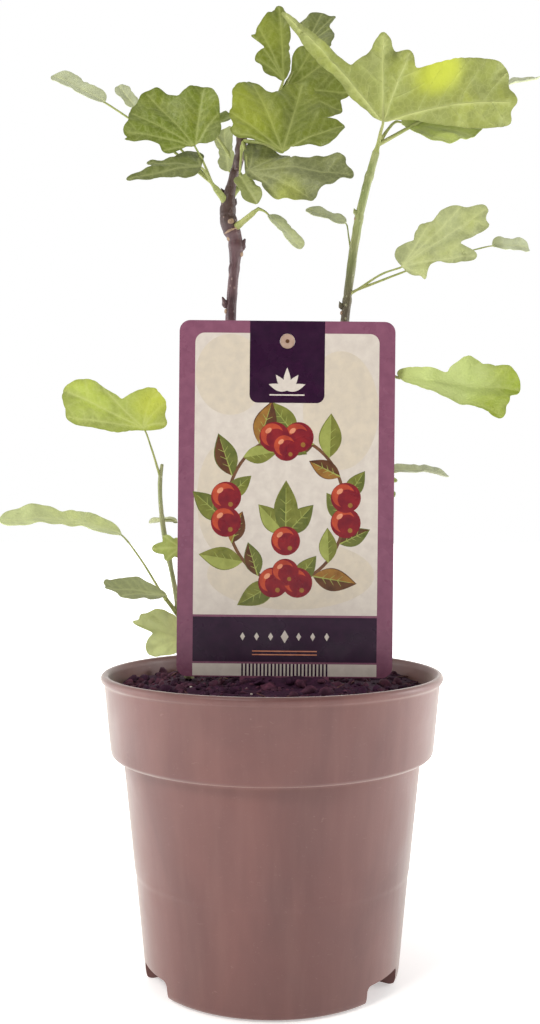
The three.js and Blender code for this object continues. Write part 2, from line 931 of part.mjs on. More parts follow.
for (const [name, mass] of Object.entries(MASSES)) {
  addNode(name, largestPiece(massSolid(mass).subtract(limbsGrown)), COLOURS.foliage);
}
for (const [name, shoot] of Object.entries(BACK_SHOOTS)) {
  addNode(name, largestPiece(backShootSolid(shoot).subtract(limbsGrown)), COLOURS.foliage);
}

export default group;
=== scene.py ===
# Looks for a young fig tree in a nursery pot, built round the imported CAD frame.
#
# Lengths are millimetres until a mesh is made, +Z up, with the origin under the middle of the pot.
# Directions are (heading, rise) in degrees: a heading of 0 is +X, 90 is +Y, and a rise of 90 is up.
import math

import bpy
import numpy as np
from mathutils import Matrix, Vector
from mathutils.geometry import delaunay_2d_cdt


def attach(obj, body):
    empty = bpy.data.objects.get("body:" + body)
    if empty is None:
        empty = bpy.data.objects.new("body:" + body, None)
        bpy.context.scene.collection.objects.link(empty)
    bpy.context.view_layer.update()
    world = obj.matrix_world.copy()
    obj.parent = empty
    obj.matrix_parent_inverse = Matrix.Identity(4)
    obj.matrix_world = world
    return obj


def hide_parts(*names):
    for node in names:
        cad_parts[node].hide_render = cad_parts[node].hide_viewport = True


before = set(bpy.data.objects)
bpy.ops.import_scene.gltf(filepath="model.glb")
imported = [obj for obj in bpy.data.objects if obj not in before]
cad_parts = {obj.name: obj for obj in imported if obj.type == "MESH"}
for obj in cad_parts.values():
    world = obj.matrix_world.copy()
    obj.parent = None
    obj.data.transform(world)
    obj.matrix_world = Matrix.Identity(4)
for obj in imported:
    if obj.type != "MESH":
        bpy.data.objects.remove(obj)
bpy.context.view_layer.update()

MM = 0.001

# ------------------------------------------------------------------ the plant's own measures

GROUND = 111.3
LOBE_BLEND = 7
CREASE = 0.03
STALK_RADII = (0.72, 0.5)
# How slim the stalks of some masses are beside those of the crown, and one bough beside the CAD's.
SLIM = dict(top_low=0.6, side_low=0.55, leaf_low_mid=0.6, leaf_low_side=0.7, leaf_low_foot=0.7,
    spray_right=0.62, leaf_upper=0.6, leaf_small=0.7, spray_left=0.8, spray_hang=0.8, bough_low=0.8)
SPUR = dict(length=3, extra_on_stem=1.5, radius=1.15)

# Stems from the compost up: x, y, height and radius.
STEMS = {
    "stem_left": [(-14, 8, GROUND - 2, 3.8), (-14.6, 8, 122, 2.8), (-16.5, 7, 180, 2.4),
        (-16, 6, 250, 2.2), (-14.3, 4.4, 280, 2.6), (-16.6, 3.6, 287, 3), (-17, 3, 294, 2.6),
        (-15.8, 2, 300.3, 2)],
    "stem_right": [(16, 3, GROUND - 2, 3), (17.4, 3.4, 122, 2.3), (24, 5, 190, 2),
        (28.3, 4, 249, 1.9), (32.8, 3, 284, 1.6), (36, 0, 299, 1.5), (39.6, -3, 312, 1.4)],
    "stem_low": [(-31.5, 0, GROUND - 2, 1.9), (-36.3, -4, 143, 1.3), (-41.5, -4, 170, 1),
        (-42.6, -4, 186, 0.9), (-41.8, -4, 193, 0.6)],
}
# Boughs: the stem they leave, the height there, their direction, length and two radii.
BOUGHS = {
    "bough_left": dict(on="stem_left", at=294, aim=(228, 35), length=8, radii=(1.5, 1.2)),
    "bough_crown": dict(on="stem_left", at=300.3, aim=(311, 67), length=14.5, radii=(1.7, 1.3)),
    "bough_back": dict(on="stem_left", at=296, aim=(60, 40), length=12, radii=(1.4, 1.1)),
    "bough_right": dict(on="stem_left", at=284, aim=(319, 24), length=12, radii=(1.3, 1)),
    "bough_low": dict(on="stem_low", at=135, aim=(207, 51), length=9, radii=(1.1, 0.9)),
}


def lobed(centre, core, *lobes):
    """A leaf's outline: rounded lobes about a point on the midrib, each its angle from the midrib,
    its reach and its half-width, in blade lengths."""
    return dict(centre=centre, core=core, lobes=lobes)


def leaf(form, stalk, blade, faces, fold, bend, tone, glow=None):
    """One leaf: its form, its stalk and blade as (heading, rise, length), where its upper side
    looks, how far its halves fold up and how far its tip bends down, and its colours. glow is
    a patch of painted sunlight, yellower and brighter: its angle from the midrib, how far out
    it is, its size and its strength."""
    return dict(form=form, stalk=stalk, blade=blade, faces=faces, fold=fold, bend=bend, tone=tone,
        glow=glow)


def foliage(on, *leaves, **where):
    """A mass of foliage: its leaves, and the limb it grows on, at its tip or at a height on it."""
    return dict(on=on, leaves=leaves, **where)


# Leaf outlines, by name.
FORMS = {
    "wing": lobed(0.12, 0.1, (98, 0.82, 0.07), (90, 0.83, 0.1), (78, 0.82, 0.16),
        (-49, 0.81, 0.036),
        (-53, 0.62, 0.045), (0, 0.4, 0.065), (30, 0.34, 0.071), (-13, 0.3, 0.2), (-59, 0.28, 0.036),
        (110, 0.19, 0.06), (-83, 0.15, 0.045), (129, 0.11, 0.075)),
    "sail": lobed(0.4, 0.08, (3, 0.57, 0.087), (18, 0.47, 0.16), (149, 0.43, 0.13),
        (177, 0.41, 0.096), (73, 0.4, 0.041), (119, 0.4, 0.087), (52, 0.39, 0.15)),
    "hand": lobed(0.16, 0.1, (44, 0.84, 0.094), (58, 0.83, 0.21), (3, 0.82, 0.27), (83, 0.67, 0.18),
        (-60, 0.65, 0.18), (103, 0.6, 0.064), (-13, 0.27, 0.45), (148, 0.18, 0.11)),
    "fan": lobed(0.42, 0.36, (88, 0.6, 0.29), (-3, 0.57, 0.13), (58, 0.55, 0.45), (-137, 0.54, 0.3),
        (-41, 0.51, 0.16), (-105, 0.46, 0.45), (171, 0.37, 0.19)),
    "fork": lobed(0.25, 0.17, (6, 0.79, 0.1), (26, 0.73, 0.23), (-101, 0.6, 0.11), (64, 0.56, 0.14),
        (-21, 0.41, 0.45), (160, 0.17, 0.29)),
    "flag": lobed(0.32, 0.12, (0, 0.69, 0.12), (15, 0.6, 0.084), (133, 0.59, 0.094),
        (-15, 0.56, 0.098), (-45, 0.48, 0.2), (142, 0.48, 0.15), (171, 0.36, 0.17),
        (-85, 0.32, 0.17), (102, 0.24, 0.089)),
    "broad": lobed(0.26, 0.18, (69, 0.89, 0.13), (78, 0.88, 0.056), (19, 0.87, 0.25),
        (48, 0.86, 0.32), (6, 0.74, 0.072), (-45, 0.74, 0.31), (108, 0.49, 0.14), (-83, 0.48, 0.34),
        (-147, 0.2, 0.18)),
    "dart": lobed(0.27, 0.15, (7, 0.66, 0.073), (-147, 0.45, 0.11), (-22, 0.36, 0.081),
        (-155, 0.31, 0.15), (31, 0.19, 0.03), (-15, 0.18, 0.14), (96, 0.18, 0.19)),
    "apron": lobed(0.56, 0.19, (-178, 0.5, 0.17), (11, 0.48, 0.18), (-140, 0.4, 0.18),
        (-91, 0.39, 0.17), (-25, 0.35, 0.19)),
    "oak": lobed(0.3, 0.16, (4, 0.72, 0.13), (-10, 0.65, 0.073), (-41, 0.54, 0.1), (22, 0.53, 0.14),
        (157, 0.32, 0.11), (-119, 0.3, 0.04), (-165, 0.29, 0.17), (56, 0.28, 0.13)),
    "palm": lobed(0.22, 0.2, (0, 0.78, 0.2), (50, 0.56, 0.16), (-50, 0.56, 0.16), (112, 0.36, 0.14),
        (-112, 0.36, 0.14), (152, 0.28, 0.1), (-152, 0.28, 0.1)),
    "violin": lobed(0.39, 0.18, (-10, 0.66, 0.26), (-147, 0.66, 0.19), (-168, 0.65, 0.11),
        (-128, 0.61, 0.11), (22, 0.54, 0.099), (-12, 0.49, 0.071), (-53, 0.29, 0.15),
        (106, 0.18, 0.31)),
    "fiddle": lobed(0.56, 0.16, (176, 0.56, 0.069), (-38, 0.49, 0.068), (-176, 0.45, 0.053),
        (-2, 0.44, 0.18), (-33, 0.31, 0.13), (81, 0.19, 0.11), (-102, 0.18, 0.4), (81, 0.15, 0.15),
        (107, 0.06, 0.03)),
    "tongue": lobed(0.39, 0.16, (11, 0.6, 0.079), (-2, 0.59, 0.1), (31, 0.47, 0.15),
        (-178, 0.37, 0.072), (114, 0.22, 0.29), (-94, 0.16, 0.25)),
    "mitten": lobed(0.24, 0.18, (-1, 0.76, 0.064), (-13, 0.68, 0.13), (59, 0.59, 0.22),
        (-33, 0.58, 0.23), (104, 0.42, 0.21), (-73, 0.38, 0.18)),
    "oval": lobed(0.45, 0.2, (0, 0.55, 0.24), (180, 0.45, 0.22)),
    "strap": lobed(0.45, 0.13, (0, 0.55, 0.17), (180, 0.45, 0.15)),
}
# Masses of foliage, each with its leaves in the order they are grown.
# A leaf's glow, where given, places a patch of painted sunlight on its blade.
MASSES = {
    "spray_left": foliage("bough_left",
        leaf("broad", (240, 44, 15), (160, 62, 26), (275, 10), 8, 8, "deep"),
        leaf("dart", (247, 21, 10), (208, -10, 33), (262, 25), -6, 8, "dusky"),
        leaf("strap", (151, 38, 64), (163, 34, 28), (270, 42), 10, 12, "frosted"),
        leaf("oval", (148, 44, 51), (157, 52, 13), (250, 45), 8, 10, "frosted")),
    "crown_front": foliage("bough_crown",
        leaf("hand", (318, -22, 22), (54, 62, 34), (270, 15), 8, 6, "mid", (70, 0.54, 0.3, 0.24)),
        leaf("flag", (283, -51, 19), (344, -2, 39), (275, 30), -6, 10, "grey",
            (-69, 0.34, 0.15, 0.3)),
        leaf("oval", (264, -66, 17), (302, -44, 16), (250, 45), 10, 15, "crown")),
    "crown_back": foliage("bough_back",
        leaf("sail", (25, 68, 46), (97, 85, 33), (280, 5), 8, 8, "mid", (43, 0.23, 0.2, 0.14)),
        leaf("fan", (35, 64, 45), (9, 3, 27), (265, 8), 8, 8, "mid"),
        leaf("fork", (32, 64, 66), (19, 47, 20), (250, 20), 8, 10, "dusky"),
        leaf("palm", (55, 55, 28), (65, 39, 42), (270, 75), 8, 20, "mid"),
        leaf("palm", (139, 53, 34), (122, 29, 39), (280, 70), 8, 25, "deep"),
        leaf("strap", (159, 36, 8), (106, 62, 25), (240, 20), 8, 10, "sage")),
    "spray_hang": foliage("bough_right",
        leaf("strap", (326, -31, 6), (320, -42, 21), (292, 40), 10, 8, "frosted")),
    "crown_right": foliage("stem_right",
        leaf("wing", (288, 56, 8), (265, 77, 61), (92, 15), 6, 8, "light", (63, 0.4, 0.12, 0.85)),
        leaf("apron", (41, 48, 15), (6, 0, 34), (272, 35), 6, 10, "bright"),
        leaf("strap", (21, 29, 54), (19, 24, 26), (270, 66), 8, 10, "frosted")),
    # its ashen tone, like that of two other small leaves, is partly painted light
    "leaf_upper": foliage("stem_right",
        leaf("strap", (102, 63, 19), (162, 25, 18), (262, 42), 8, 8, "ashen"), at=272),
    "spray_right": foliage("stem_right",
        leaf("oak", (338, 23, 19), (336, 28, 37), (280, 20), 8, 8, "sage"),
        leaf("oval", (348, 16, 53), (17, 3, 16), (270, 35), 10, 8, "frosted"),
        at=259, aim=(338, 25)),
    "leaf_right": foliage("stem_right",
        leaf("fiddle", (324, -27, 27), (335, -8, 47), (270, 28), 8, 0, "young",
            (180, 0.2, 0.34, 0.7)),
        at=238),
    "leaf_small": foliage("stem_right",
        leaf("strap", (5, -29, 25), (20, 7, 26), (270, 62), 10, 24, "ashen"), at=203),
    "top_low": foliage("stem_low",
        leaf("violin", (213, 69, 20), (196, 19, 31), (280, 10), 8, 5, "lime",
            (-139, 0.51, 0.18, 0.55)),
        at=188),
    "side_low": foliage("bough_low",
        leaf("strap", (185, 56, 27), (205, 21, 46), (280, 64), 6, 34, "mild"),
        leaf("tongue", (300, -9, 5), (216, 16, 27), (268, 50), 8, 12, "sage")),
    "leaf_low_mid": foliage("stem_low",
        leaf("oval", (49, -5, 8), (184, 7, 11), (290, 68), 8, 20, "ashen"), at=172),
    "leaf_low_side": foliage("stem_low",
        leaf("palm", (315, 35, 8), (202, -1, 11), (280, 10), 8, 10, "bright"), at=157),
    # its pale tone is painted light against the label's shade
    "leaf_low_foot": foliage("stem_low",
        leaf("mitten", (267, 5, 7), (193, 20, 19), (270, 20), 8, 8, "pale"), at=127),
}
# Side shoots at the back, whose leaves a seeded rule places inside a space.
BACK_SHOOTS = {
    "back_left": dict(on="stem_left", at=142, aim=(82, 36), length=26, seed=8,
        space=((-39, 11, 118), (14, 92, 252))),
    "back_mid": dict(on="stem_left", at=222, aim=(66, 16), length=24, seed=25,
        space=((-38, 11, 118), (48, 92, 254))),
    "back_right": dict(on="stem_right", at=178, aim=(80, 28), length=26, seed=10,
        space=((-4, 11, 118), (51, 92, 252))),
}
SHOOT = dict(radii=(1.3, 0.8), leaves=4, tries=24, stalk=(8, 14), blade=(27, 35), turn=(15, 55),
    rise=(-10, 25), droop=8, swing=10, fold=8, bend=18, faces=80,
    tones=("mid", "fresh", "deep", "bright"))
BLADE_REACH = ((1, 0), (0.55, 0.45), (0.55, -0.45), (0.1, 0.35), (0.1, -0.35))

# ------------------------------------------------------------------ colours and materials


def linear(colour):
    """An sRGB colour of 0 to 255 as linear RGBA."""
    channels = [c / 255 for c in colour]
    return [c / 12.92 if c <= 0.04045 else ((c + 0.055) / 1.055) ** 2.4 for c in channels] + [1]


def blend(first, second, share):
    return [(1 - share) * a + share * b for a, b in zip(first, second)]


class Nodes:
    """A material's nodes, added and linked in one go."""

    def __init__(self, name):
        self.material = bpy.data.materials.new(name)
        self.material.use_nodes = True
        self.tree = self.material.node_tree
        self.shader = self.tree.nodes["Principled BSDF"]
        self.coordinates = None

    def add(self, kind, inputs=None, **settings):
        node = self.tree.nodes.new(kind)
        for name, value in settings.items():
            setattr(node, name, value)
        for name, value in (inputs or {}).items():
            self.feed(node.inputs[name], value)
        return node

    def feed(self, socket, value):
        if isinstance(value, bpy.types.NodeSocket):
            self.tree.links.new(value, socket)
        else:
            socket.default_value = value

    def set(self, **inputs):
        for name, value in inputs.items():
            self.feed(self.shader.inputs[name.replace("_", " ")], value)

    def place(self, stretch=(1, 1, 1)):
        """The point on the object, in metres, with each axis multiplied by stretch."""
        if self.coordinates is None:
            self.coordinates = self.add("ShaderNodeTexCoord")
        inputs = {"Vector": self.coordinates.outputs["Object"], "Scale": stretch}
        return self.add("ShaderNodeMapping", inputs).outputs[0]

    def noise(self, scale, detail=3, stretch=(1, 1, 1), distortion=0):
        inputs = {"Vector": self.place(stretch), "Scale": scale, "Detail": detail,
            "Roughness": 0.55, "Distortion": distortion}
        return self.add("ShaderNodeTexNoise", inputs).outputs["Fac"]

    def cells(self, scale, feature="DISTANCE_TO_EDGE", stretch=(1, 1, 1)):
        inputs = {"Vector": self.place(stretch), "Scale": scale}
        return self.add("ShaderNodeTexVoronoi", inputs, feature=feature).outputs["Distance"]

    def span(self, value, low, high, to_low=0, to_high=1):
        """A value of low to high as one of to_low to to_high."""
        names = ("Value", "From Min", "From Max", "To Min", "To Max")
        inputs = dict(zip(names, (value, low, high, to_low, to_high)))
        return self.add("ShaderNodeMapRange", inputs).outputs[0]

    def patches(self, scale, detail, low, high, to_low=0, to_high=1, **more):
        """Noise whose heights of low to high go from to_low to to_high."""
        return self.span(self.noise(scale, detail, **more), low, high, to_low, to_high)

    def mix(self, share, first, second):
        inputs = {0: share, 6: first, 7: second}
        return self.add("ShaderNodeMix", inputs, data_type="RGBA").outputs[2]

    def tint(self, base, mask, share, colour):
        """The base, turned to a colour by a share where the mask is 1."""
        part = self.add("ShaderNodeMath", {0: mask, 1: share}, operation="MULTIPLY").outputs[0]
        return self.mix(part, base, linear(colour))

    def bumps(self, *layers):
        """Relief from layers of (height, millimetres), the first one lowest."""
        normal = None
        for height, depth in layers:
            inputs = {"Height": height, "Distance": depth * MM, "Strength": 1.0}
            if normal:
                inputs["Normal"] = normal
            normal = self.add("ShaderNodeBump", inputs).outputs[0]
        self.set(Normal=normal)


def plain(name, colour, second, scale, roughness, layers, **sockets):
    """A material whose colour wanders between two, with a varied gloss and noise relief."""
    n = Nodes(name)
    n.set(Base_Color=n.mix(n.patches(scale, 4, 0.35, 0.65), linear(colour), linear(second)))
    n.set(Roughness=n.patches(scale * 2.3, 3, 0.3, 0.7, *roughness))
    n.bumps(*[(n.noise(s, d), depth) for s, d, depth in layers])
    n.set(**sockets)
    return n.material


# Each tone is a leaf's colour from above and from below. The palest two, for the leaf by the label
# and for the small ashen leaves, are also painted light: lightened so that leaves lying in shade
# look lit.
TONES = dict(
    deep=((106, 120, 36), (132, 142, 76)),
    mid=((115, 127, 38), (138, 148, 70)),
    fresh=((146, 156, 60), (160, 168, 82)),
    crown=((150, 158, 92), (160, 168, 106)),
    grey=((109, 115, 69), (130, 136, 92)),
    dusky=((110, 119, 60), (114, 123, 70)),
    bright=((180, 194, 100), (188, 200, 112)),
    lime=((178, 192, 84), (184, 196, 104)),
    light=((142, 152, 74), (150, 158, 82)),
    # painted light: lightened past the leaf's own colour, as the foot leaf lies in the label's
    # shade
    pale=((238, 246, 168), (236, 244, 170)),
    sage=((164, 171, 118), (176, 182, 130)),
    frosted=((205, 212, 174), (209, 216, 178)),
    # painted light: lightened past the leaves' own greyish colour so that small leaves in shade
    # look lit
    ashen=((224, 229, 194), (226, 231, 198)),
    mild=((226, 237, 166), (228, 238, 172)),
    young=((152, 170, 50), (162, 176, 70)),
)
PALE_VEIN = (208, 212, 150)
DULL = (128, 132, 92)
WARM = (188, 192, 62)
# Painted sunlight: the yellower, brighter colours that leaves take where their glow patch lies.
SUNLIT_GLOW = (198, 206, 68)
PALE_SUNLIT_GLOW = (194, 207, 136)


def leaf_materials(tone):
    """The upper and under side. The blade's attribute holds how near a point is to a vein, how
    near to the margin, a shade of its own for each leaf, and how much painted sunlight it shows."""
    made = []
    for side, colour in zip(("upper", "under"), TONES[tone]):
        upper = side == "upper"
        n = Nodes(f"leaf_{tone}_{side}")
        parts = n.add("ShaderNodeAttribute", attribute_name="leaf")
        split = n.add("ShaderNodeSeparateColor", {"Color": parts.outputs["Color"]})
        vein, margin, own = (split.outputs[i] for i in range(3))
        dull, dark = blend(colour, DULL, 0.42), [0.72 * c for c in colour]
        blade = n.mix(n.patches(42, 3, 0.4, 0.62, distortion=0.8), linear(colour), linear(dull))
        warmth = n.patches(60, 3, 0.5, 0.72, distortion=0.5)
        blade = n.tint(blade, warmth, 0.75, blend(colour, WARM, 0.3))
        blade = n.tint(blade, n.patches(240, 4, 0.48, 0.75), 0.42, dark)
        net = n.span(n.cells(430), 0.0, 0.1, 1, 0)
        blade = n.tint(blade, net, 0.22, blend(colour, PALE_VEIN, 0.6))
        blade = n.tint(blade, own, 0.34, dark)
        blade = n.tint(blade, margin, 0.45, blend(dull, dark, 0.45))
        blade = n.tint(blade, vein, 0.62 if upper else 0.8, blend(colour, PALE_VEIN, 0.62))
        # painted light: the sunlit patch, mixed in by the attribute's alpha
        glow = linear(PALE_SUNLIT_GLOW if tone == "young" else SUNLIT_GLOW)
        n.set(Base_Color=n.mix(parts.outputs["Alpha"], blade, glow))
        n.set(Roughness=n.patches(240, 3, 0.3, 0.7, *((0.4, 0.56) if upper else (0.6, 0.75))))
        n.bumps((n.span(n.cells(620), 0.0, 0.25), 0.05), (n.noise(2600, 2), 0.02))
        n.set(Specular_IOR_Level=0.26, Sheen_Weight=0.05, Sheen_Roughness=0.5)
        made.append(n.material)
    return made


def bark_material(name, colour, second, streak, spots, turn=None, rough=(0.5, 0.78), shine=0.35):
    """Young bark: streaks along the stem, pale spots and fine grain. turn is another colour, the
    heights between which the bark turns to it, and how far it does."""
    n = Nodes(name)
    along = n.patches(900, 4, 0.35, 0.68, stretch=(1, 1, 0.12))
    base = n.mix(along, linear(colour), linear(second))
    base = n.tint(base, n.patches(110, 3, 0.35, 0.65), 0.5, streak)
    if turn:
        height = n.add("ShaderNodeSeparateXYZ", {0: n.place()}).outputs[2]
        base = n.mix(n.span(height, turn[1] * MM, turn[2] * MM, 0, turn[3]), base, linear(turn[0]))
    dots = n.span(n.cells(520, "F1", stretch=(1, 1, 0.6)), 0.22, 0.12)
    n.set(Base_Color=n.tint(base, dots, 0.55, spots))
    n.set(Roughness=n.patches(420, 3, 0.3, 0.7, *rough), Specular_IOR_Level=shine)
    grain = n.noise(1200, 4, stretch=(1, 1, 0.15))
    n.bumps((grain, 0.25), (dots, 0.12), (n.noise(4200, 2), 0.04))
    return n.material


# ------------------------------------------------------------------ meshes


def in_scene(name, data):
    """A new object of the scene."""
    item = bpy.data.objects.new(name, data)
    bpy.context.scene.collection.objects.link(item)
    return item


def smooth(mesh, angle):
    """Smooth faces with sharp edges over an angle."""
    mesh.shade_smooth()
    mesh.set_sharp_from_angle(angle=math.radians(angle))


class Piece:
    """Points and faces gathered for one mesh. Every block of faces has its own slot numbers."""

    def __init__(self, name):
        self.name = name
        self.points, self.blocks, self.slots, self.uvs, self.leaf = [], [], [], [], []
        self.count = 0

    def add(self, points, faces, slot=0, uvs=None, leaf=None):
        """faces is an array of point numbers within these points; uvs has one pair per corner."""
        self.points.append(np.asarray(points, float))
        self.leaf.append(np.zeros((len(points), 4)) if leaf is None else leaf)
        self.count += len(points)
        self.more(faces, slot, uvs)

    def more(self, faces, slot=0, uvs=None):
        """More faces on the points that were added last."""
        faces = np.asarray(faces)
        self.blocks.append(faces + self.count - len(self.points[-1]))
        self.slots.append(np.broadcast_to(slot, len(faces)))
        self.uvs.append(np.zeros((faces.size, 2)) if uvs is None else uvs.reshape(-1, 2))

    def build(self, materials, nodes, slot, sharp=50, mapped=False):
        """Makes the object, which rides on the root and stands for those CAD nodes."""
        mesh = bpy.data.meshes.new(self.name)
        points = np.concatenate(self.points) * MM
        sizes = np.concatenate([np.full(len(b), b.shape[1]) for b in self.blocks])
        mesh.vertices.add(len(points))
        mesh.vertices.foreach_set("co", points.ravel())
        mesh.loops.add(int(sizes.sum()))
        mesh.loops.foreach_set("vertex_index", np.concatenate([b.ravel() for b in self.blocks]))
        mesh.polygons.add(len(sizes))
        mesh.polygons.foreach_set("loop_start", np.concatenate([[0], np.cumsum(sizes)[:-1]]))
        mesh.polygons.foreach_set("material_index", np.concatenate(self.slots).astype(np.int32))
        mesh.update(calc_edges=True)
        if mapped:
            layer = mesh.uv_layers.new(name="OFBake")
            layer.data.foreach_set("uv", np.concatenate(self.uvs).ravel())
            shades = mesh.attributes.new("leaf", "FLOAT_COLOR", "POINT")
            shades.data.foreach_set("color", np.concatenate(self.leaf).ravel())
        mesh.validate()
        smooth(mesh, sharp)
        for material in materials:
            mesh.materials.append(material)
        item = in_scene(self.name, mesh)
        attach(item, "root")
        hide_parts(*nodes)
        return item


def unit(v):
    return v / np.linalg.norm(v)


def ray(angle):
    """The flat direction at an angle in radians."""
    return np.array([math.cos(angle), math.sin(angle)])


def spun(points, angle, x=0, y=0):
    """Flat points turned about (0, 0) and then moved by x and y."""
    (c, s), across, up = ray(angle), points[..., 0], points[..., 1]
    return np.stack([x + c * across - s * up, y + s * across + c * up], -1)


def leftwards(line):
    """The flat direction to the left of a line at each of its points."""
    ahead = np.gradient(line, axis=0)
    ahead /= np.linalg.norm(ahead, axis=1)[:, None]
    return np.stack([-ahead[:, 1], ahead[:, 0]], 1)


def run_along(line):
    """How far along a line each of its points is."""
    return np.concatenate([[0], np.cumsum(np.linalg.norm(np.diff(line, axis=0), axis=1))])


def direction(aim):
    heading, rise = math.radians(aim[0]), math.radians(aim[1])
    return np.array([*(ray(heading) * math.cos(rise)), math.sin(rise)])


def curve_point(path, t):
    """A point on the smooth (centripetal) curve through the path, t from 0 to 1."""
    last = len(path) - 1
    i = min(int(t * last), last - 1)
    w = t * last - i
    p1, p2 = path[i], path[i + 1]
    p0 = path[i - 1] if i > 0 else 2 * path[0] - path[1]
    p3 = path[i + 2] if i + 2 <= last else 2 * path[last] - path[last - 1]
    d0, d1, d2 = (math.sqrt(np.linalg.norm(b - a)) for a, b in ((p0, p1), (p1, p2), (p2, p3)))
    t1 = ((p1 - p0) / d0 - (p2 - p0) / (d0 + d1) + (p2 - p1) / d1) * d1
    t2 = ((p2 - p1) / d1 - (p3 - p1) / (d1 + d2) + (p3 - p2) / d2) * d1
    return p1 + t1 * w + (3 * (p2 - p1) - 2 * t1 - t2) * w**2 + (2 * (p1 - p2) + t1 + t2) * w**3


def lattice(piece, rings, ends, slot):
    """A stack of rings of points as a closed skin, with a fan to a point at each end."""
    count, sides = rings.shape[:2]
    i, j = (grid.ravel() for grid in np.meshgrid(np.arange(sides), np.arange(count - 1)))
    k = (i + 1) % sides
    quads = np.stack([j * sides + i, j * sides + k, (j + 1) * sides + k, (j + 1) * sides + i], 1)
    piece.add(np.concatenate([rings.reshape(-1, 3), ends]), quads, slot)
    i = np.arange(sides)
    k, top, total = (i + 1) % sides, (count - 1) * sides, np.full(sides, count * sides)
    piece.more(np.stack([k, i, total], 1), slot)
    piece.more(np.stack([top + i, top + k, total + 1], 1), slot)


DOME_ANGLES = (0.45, 0.9, 1.3)


def sweep(piece, path, radii, sides, steps, slot=0, relief=None, clip=None, cap=0.5):
    """A round limb along a smooth curve, closed by a dome at each end that is cap radii high.
    relief(angles, run) gives the bark's height there; below clip the limb is flattened."""
    path = [np.asarray(p, float) for p in path]
    shares = np.linspace(0, 1, steps + 1)
    middles = np.array([curve_point(path, t) for t in shares])
    tangents = np.gradient(middles, axis=0)
    tangents /= np.linalg.norm(tangents, axis=1)[:, None]
    widths = np.interp(shares * (len(radii) - 1), range(len(radii)), radii)
    run = run_along(middles)
    side = unit(np.cross(tangents[0], (0.3, 1, 0.1)))
    angles = np.arange(sides) * 2 * math.pi / sides
    rings = []
    for j in range(steps + 1):
        side = unit(side - tangents[j] * (side @ tangents[j]))
        other = np.cross(tangents[j], side)
        width = widths[j] + (relief(angles, run[j]) if relief else 0)
        width = np.broadcast_to(width, sides)[:, None]
        circle = np.cos(angles)[:, None] * side + np.sin(angles)[:, None] * other
        level = [middles[j] + circle * width]
        if j in (0, steps):
            out = tangents[j] * (-1 if j == 0 else 1) * cap * widths[j]
            for a in DOME_ANGLES:
                level.append(middles[j] + circle * width * math.cos(a) + out * math.sin(a))
        rings += level[::-1] if j == 0 else level
    points = np.array(rings)
    if clip is not None:
        points[..., 2] = np.maximum(points[..., 2], clip)
    lattice(piece, points, [points[0].mean(0), points[-1].mean(0)], slot)


# ------------------------------------------------------------------ where the plant grows

paths = {name: [np.array(row[:3], float) for row in rows] for name, rows in STEMS.items()}


def on_stem(name, height):
    """The point on a stem's axis at a height."""
    low, high = 0.0, 1.0
    for _ in range(30):
        middle = (low + high) / 2
        if curve_point(paths[name], middle)[2] < height:
            low = middle
        else:
            high = middle
    return curve_point(paths[name], low)


for name, bough in BOUGHS.items():
    start = on_stem(bough["on"], bough["at"])
    step = direction(bough["aim"]) * bough["length"]
    paths[name] = [start, start + step / 2, start + step]


def seeded_numbers(seed):
    """Numbers from 0 to 1 in an order that the seed fixes."""
    state = seed
    while True:
        state = state * 16807 % 2147483647
        yield state / 2147483647


def blade_axes(row):
    """Axes of a blade: along the midrib, to its left, and out of its upper side."""
    midrib, up = direction(row["blade"]), direction(row["faces"])
    up = unit(up - midrib * (up @ midrib))
    return midrib, np.cross(up, midrib), up


def blade_points(row, base, u, v, lift):
    """Points of the folded and bent blade; u, v and lift are in blade lengths."""
    midrib, left, up = blade_axes(row)
    raised = lift + math.tan(math.radians(row["fold"])) * (np.hypot(v, CREASE) - CREASE)
    x, z, turn = u, raised, math.radians(row["bend"])
    if turn:
        x = (1 / turn + raised) * np.sin(u * turn)
        z = (1 / turn + raised) * np.cos(u * turn) - 1 / turn
    return base + row["blade"][2] * (np.outer(x, midrib) + np.outer(v, left) + np.outer(z, up))


def shoot_leaves(shoot, start):
    """The leaves of a back shoot: alternate sides of the twig, the youngest at its tip."""
    numbers = seeded_numbers(shoot["seed"])
    next(numbers)

    def between(name):
        low, high = SHOOT[name]
        return low + (high - low) * next(numbers)

    aim, rows = shoot["aim"], []
    for _ in range(SHOOT["tries"]):
        if len(rows) == SHOOT["leaves"]:
            break
        side = 1 if len(rows) % 2 else -1
        last = len(rows) == SHOOT["leaves"] - 1
        heading = aim[0] + (0 if last else side) * between("turn")
        stalk = (heading, aim[1] + between("rise"), between("stalk"))
        rise = between("rise") - SHOOT["droop"]
        blade = (heading + SHOOT["swing"] * side, rise, between("blade"))
        row = leaf("palm", stalk, blade, (heading, SHOOT["faces"]), SHOOT["fold"], SHOOT["bend"],
            SHOOT["tones"][len(rows)])
        twig = start + direction(aim) * shoot["length"] * (len(rows) + 1) / SHOOT["leaves"]
        u, v = np.array(BLADE_REACH).T
        spots = blade_points(row, twig + direction(stalk) * stalk[2], u, v, 0)
        low, high = shoot["space"]
        if (spots > low).all() and (spots < high).all():
            rows.append((row, twig))
    return rows


# ------------------------------------------------------------------ leaves

LEAF_THICKNESS = 0.5
EDGE_STEP = 0.85
VEIN_STEP = 1.1
TOOTH_PITCH = 3.6
WAVE_PITCH = 17
# A blade's relief in blade lengths: its height and, but for the roll, how far it reaches.
WAVE, SWELL, PUCKER, ROLL = (0.024, 0.12), (0.009, 0.045), (0.042, 0.1), 0.013
STALK_SIDES, TWIG_SIDES, BOUGH_SIDES, STEM_SIDES = 12, 14, 28, 40


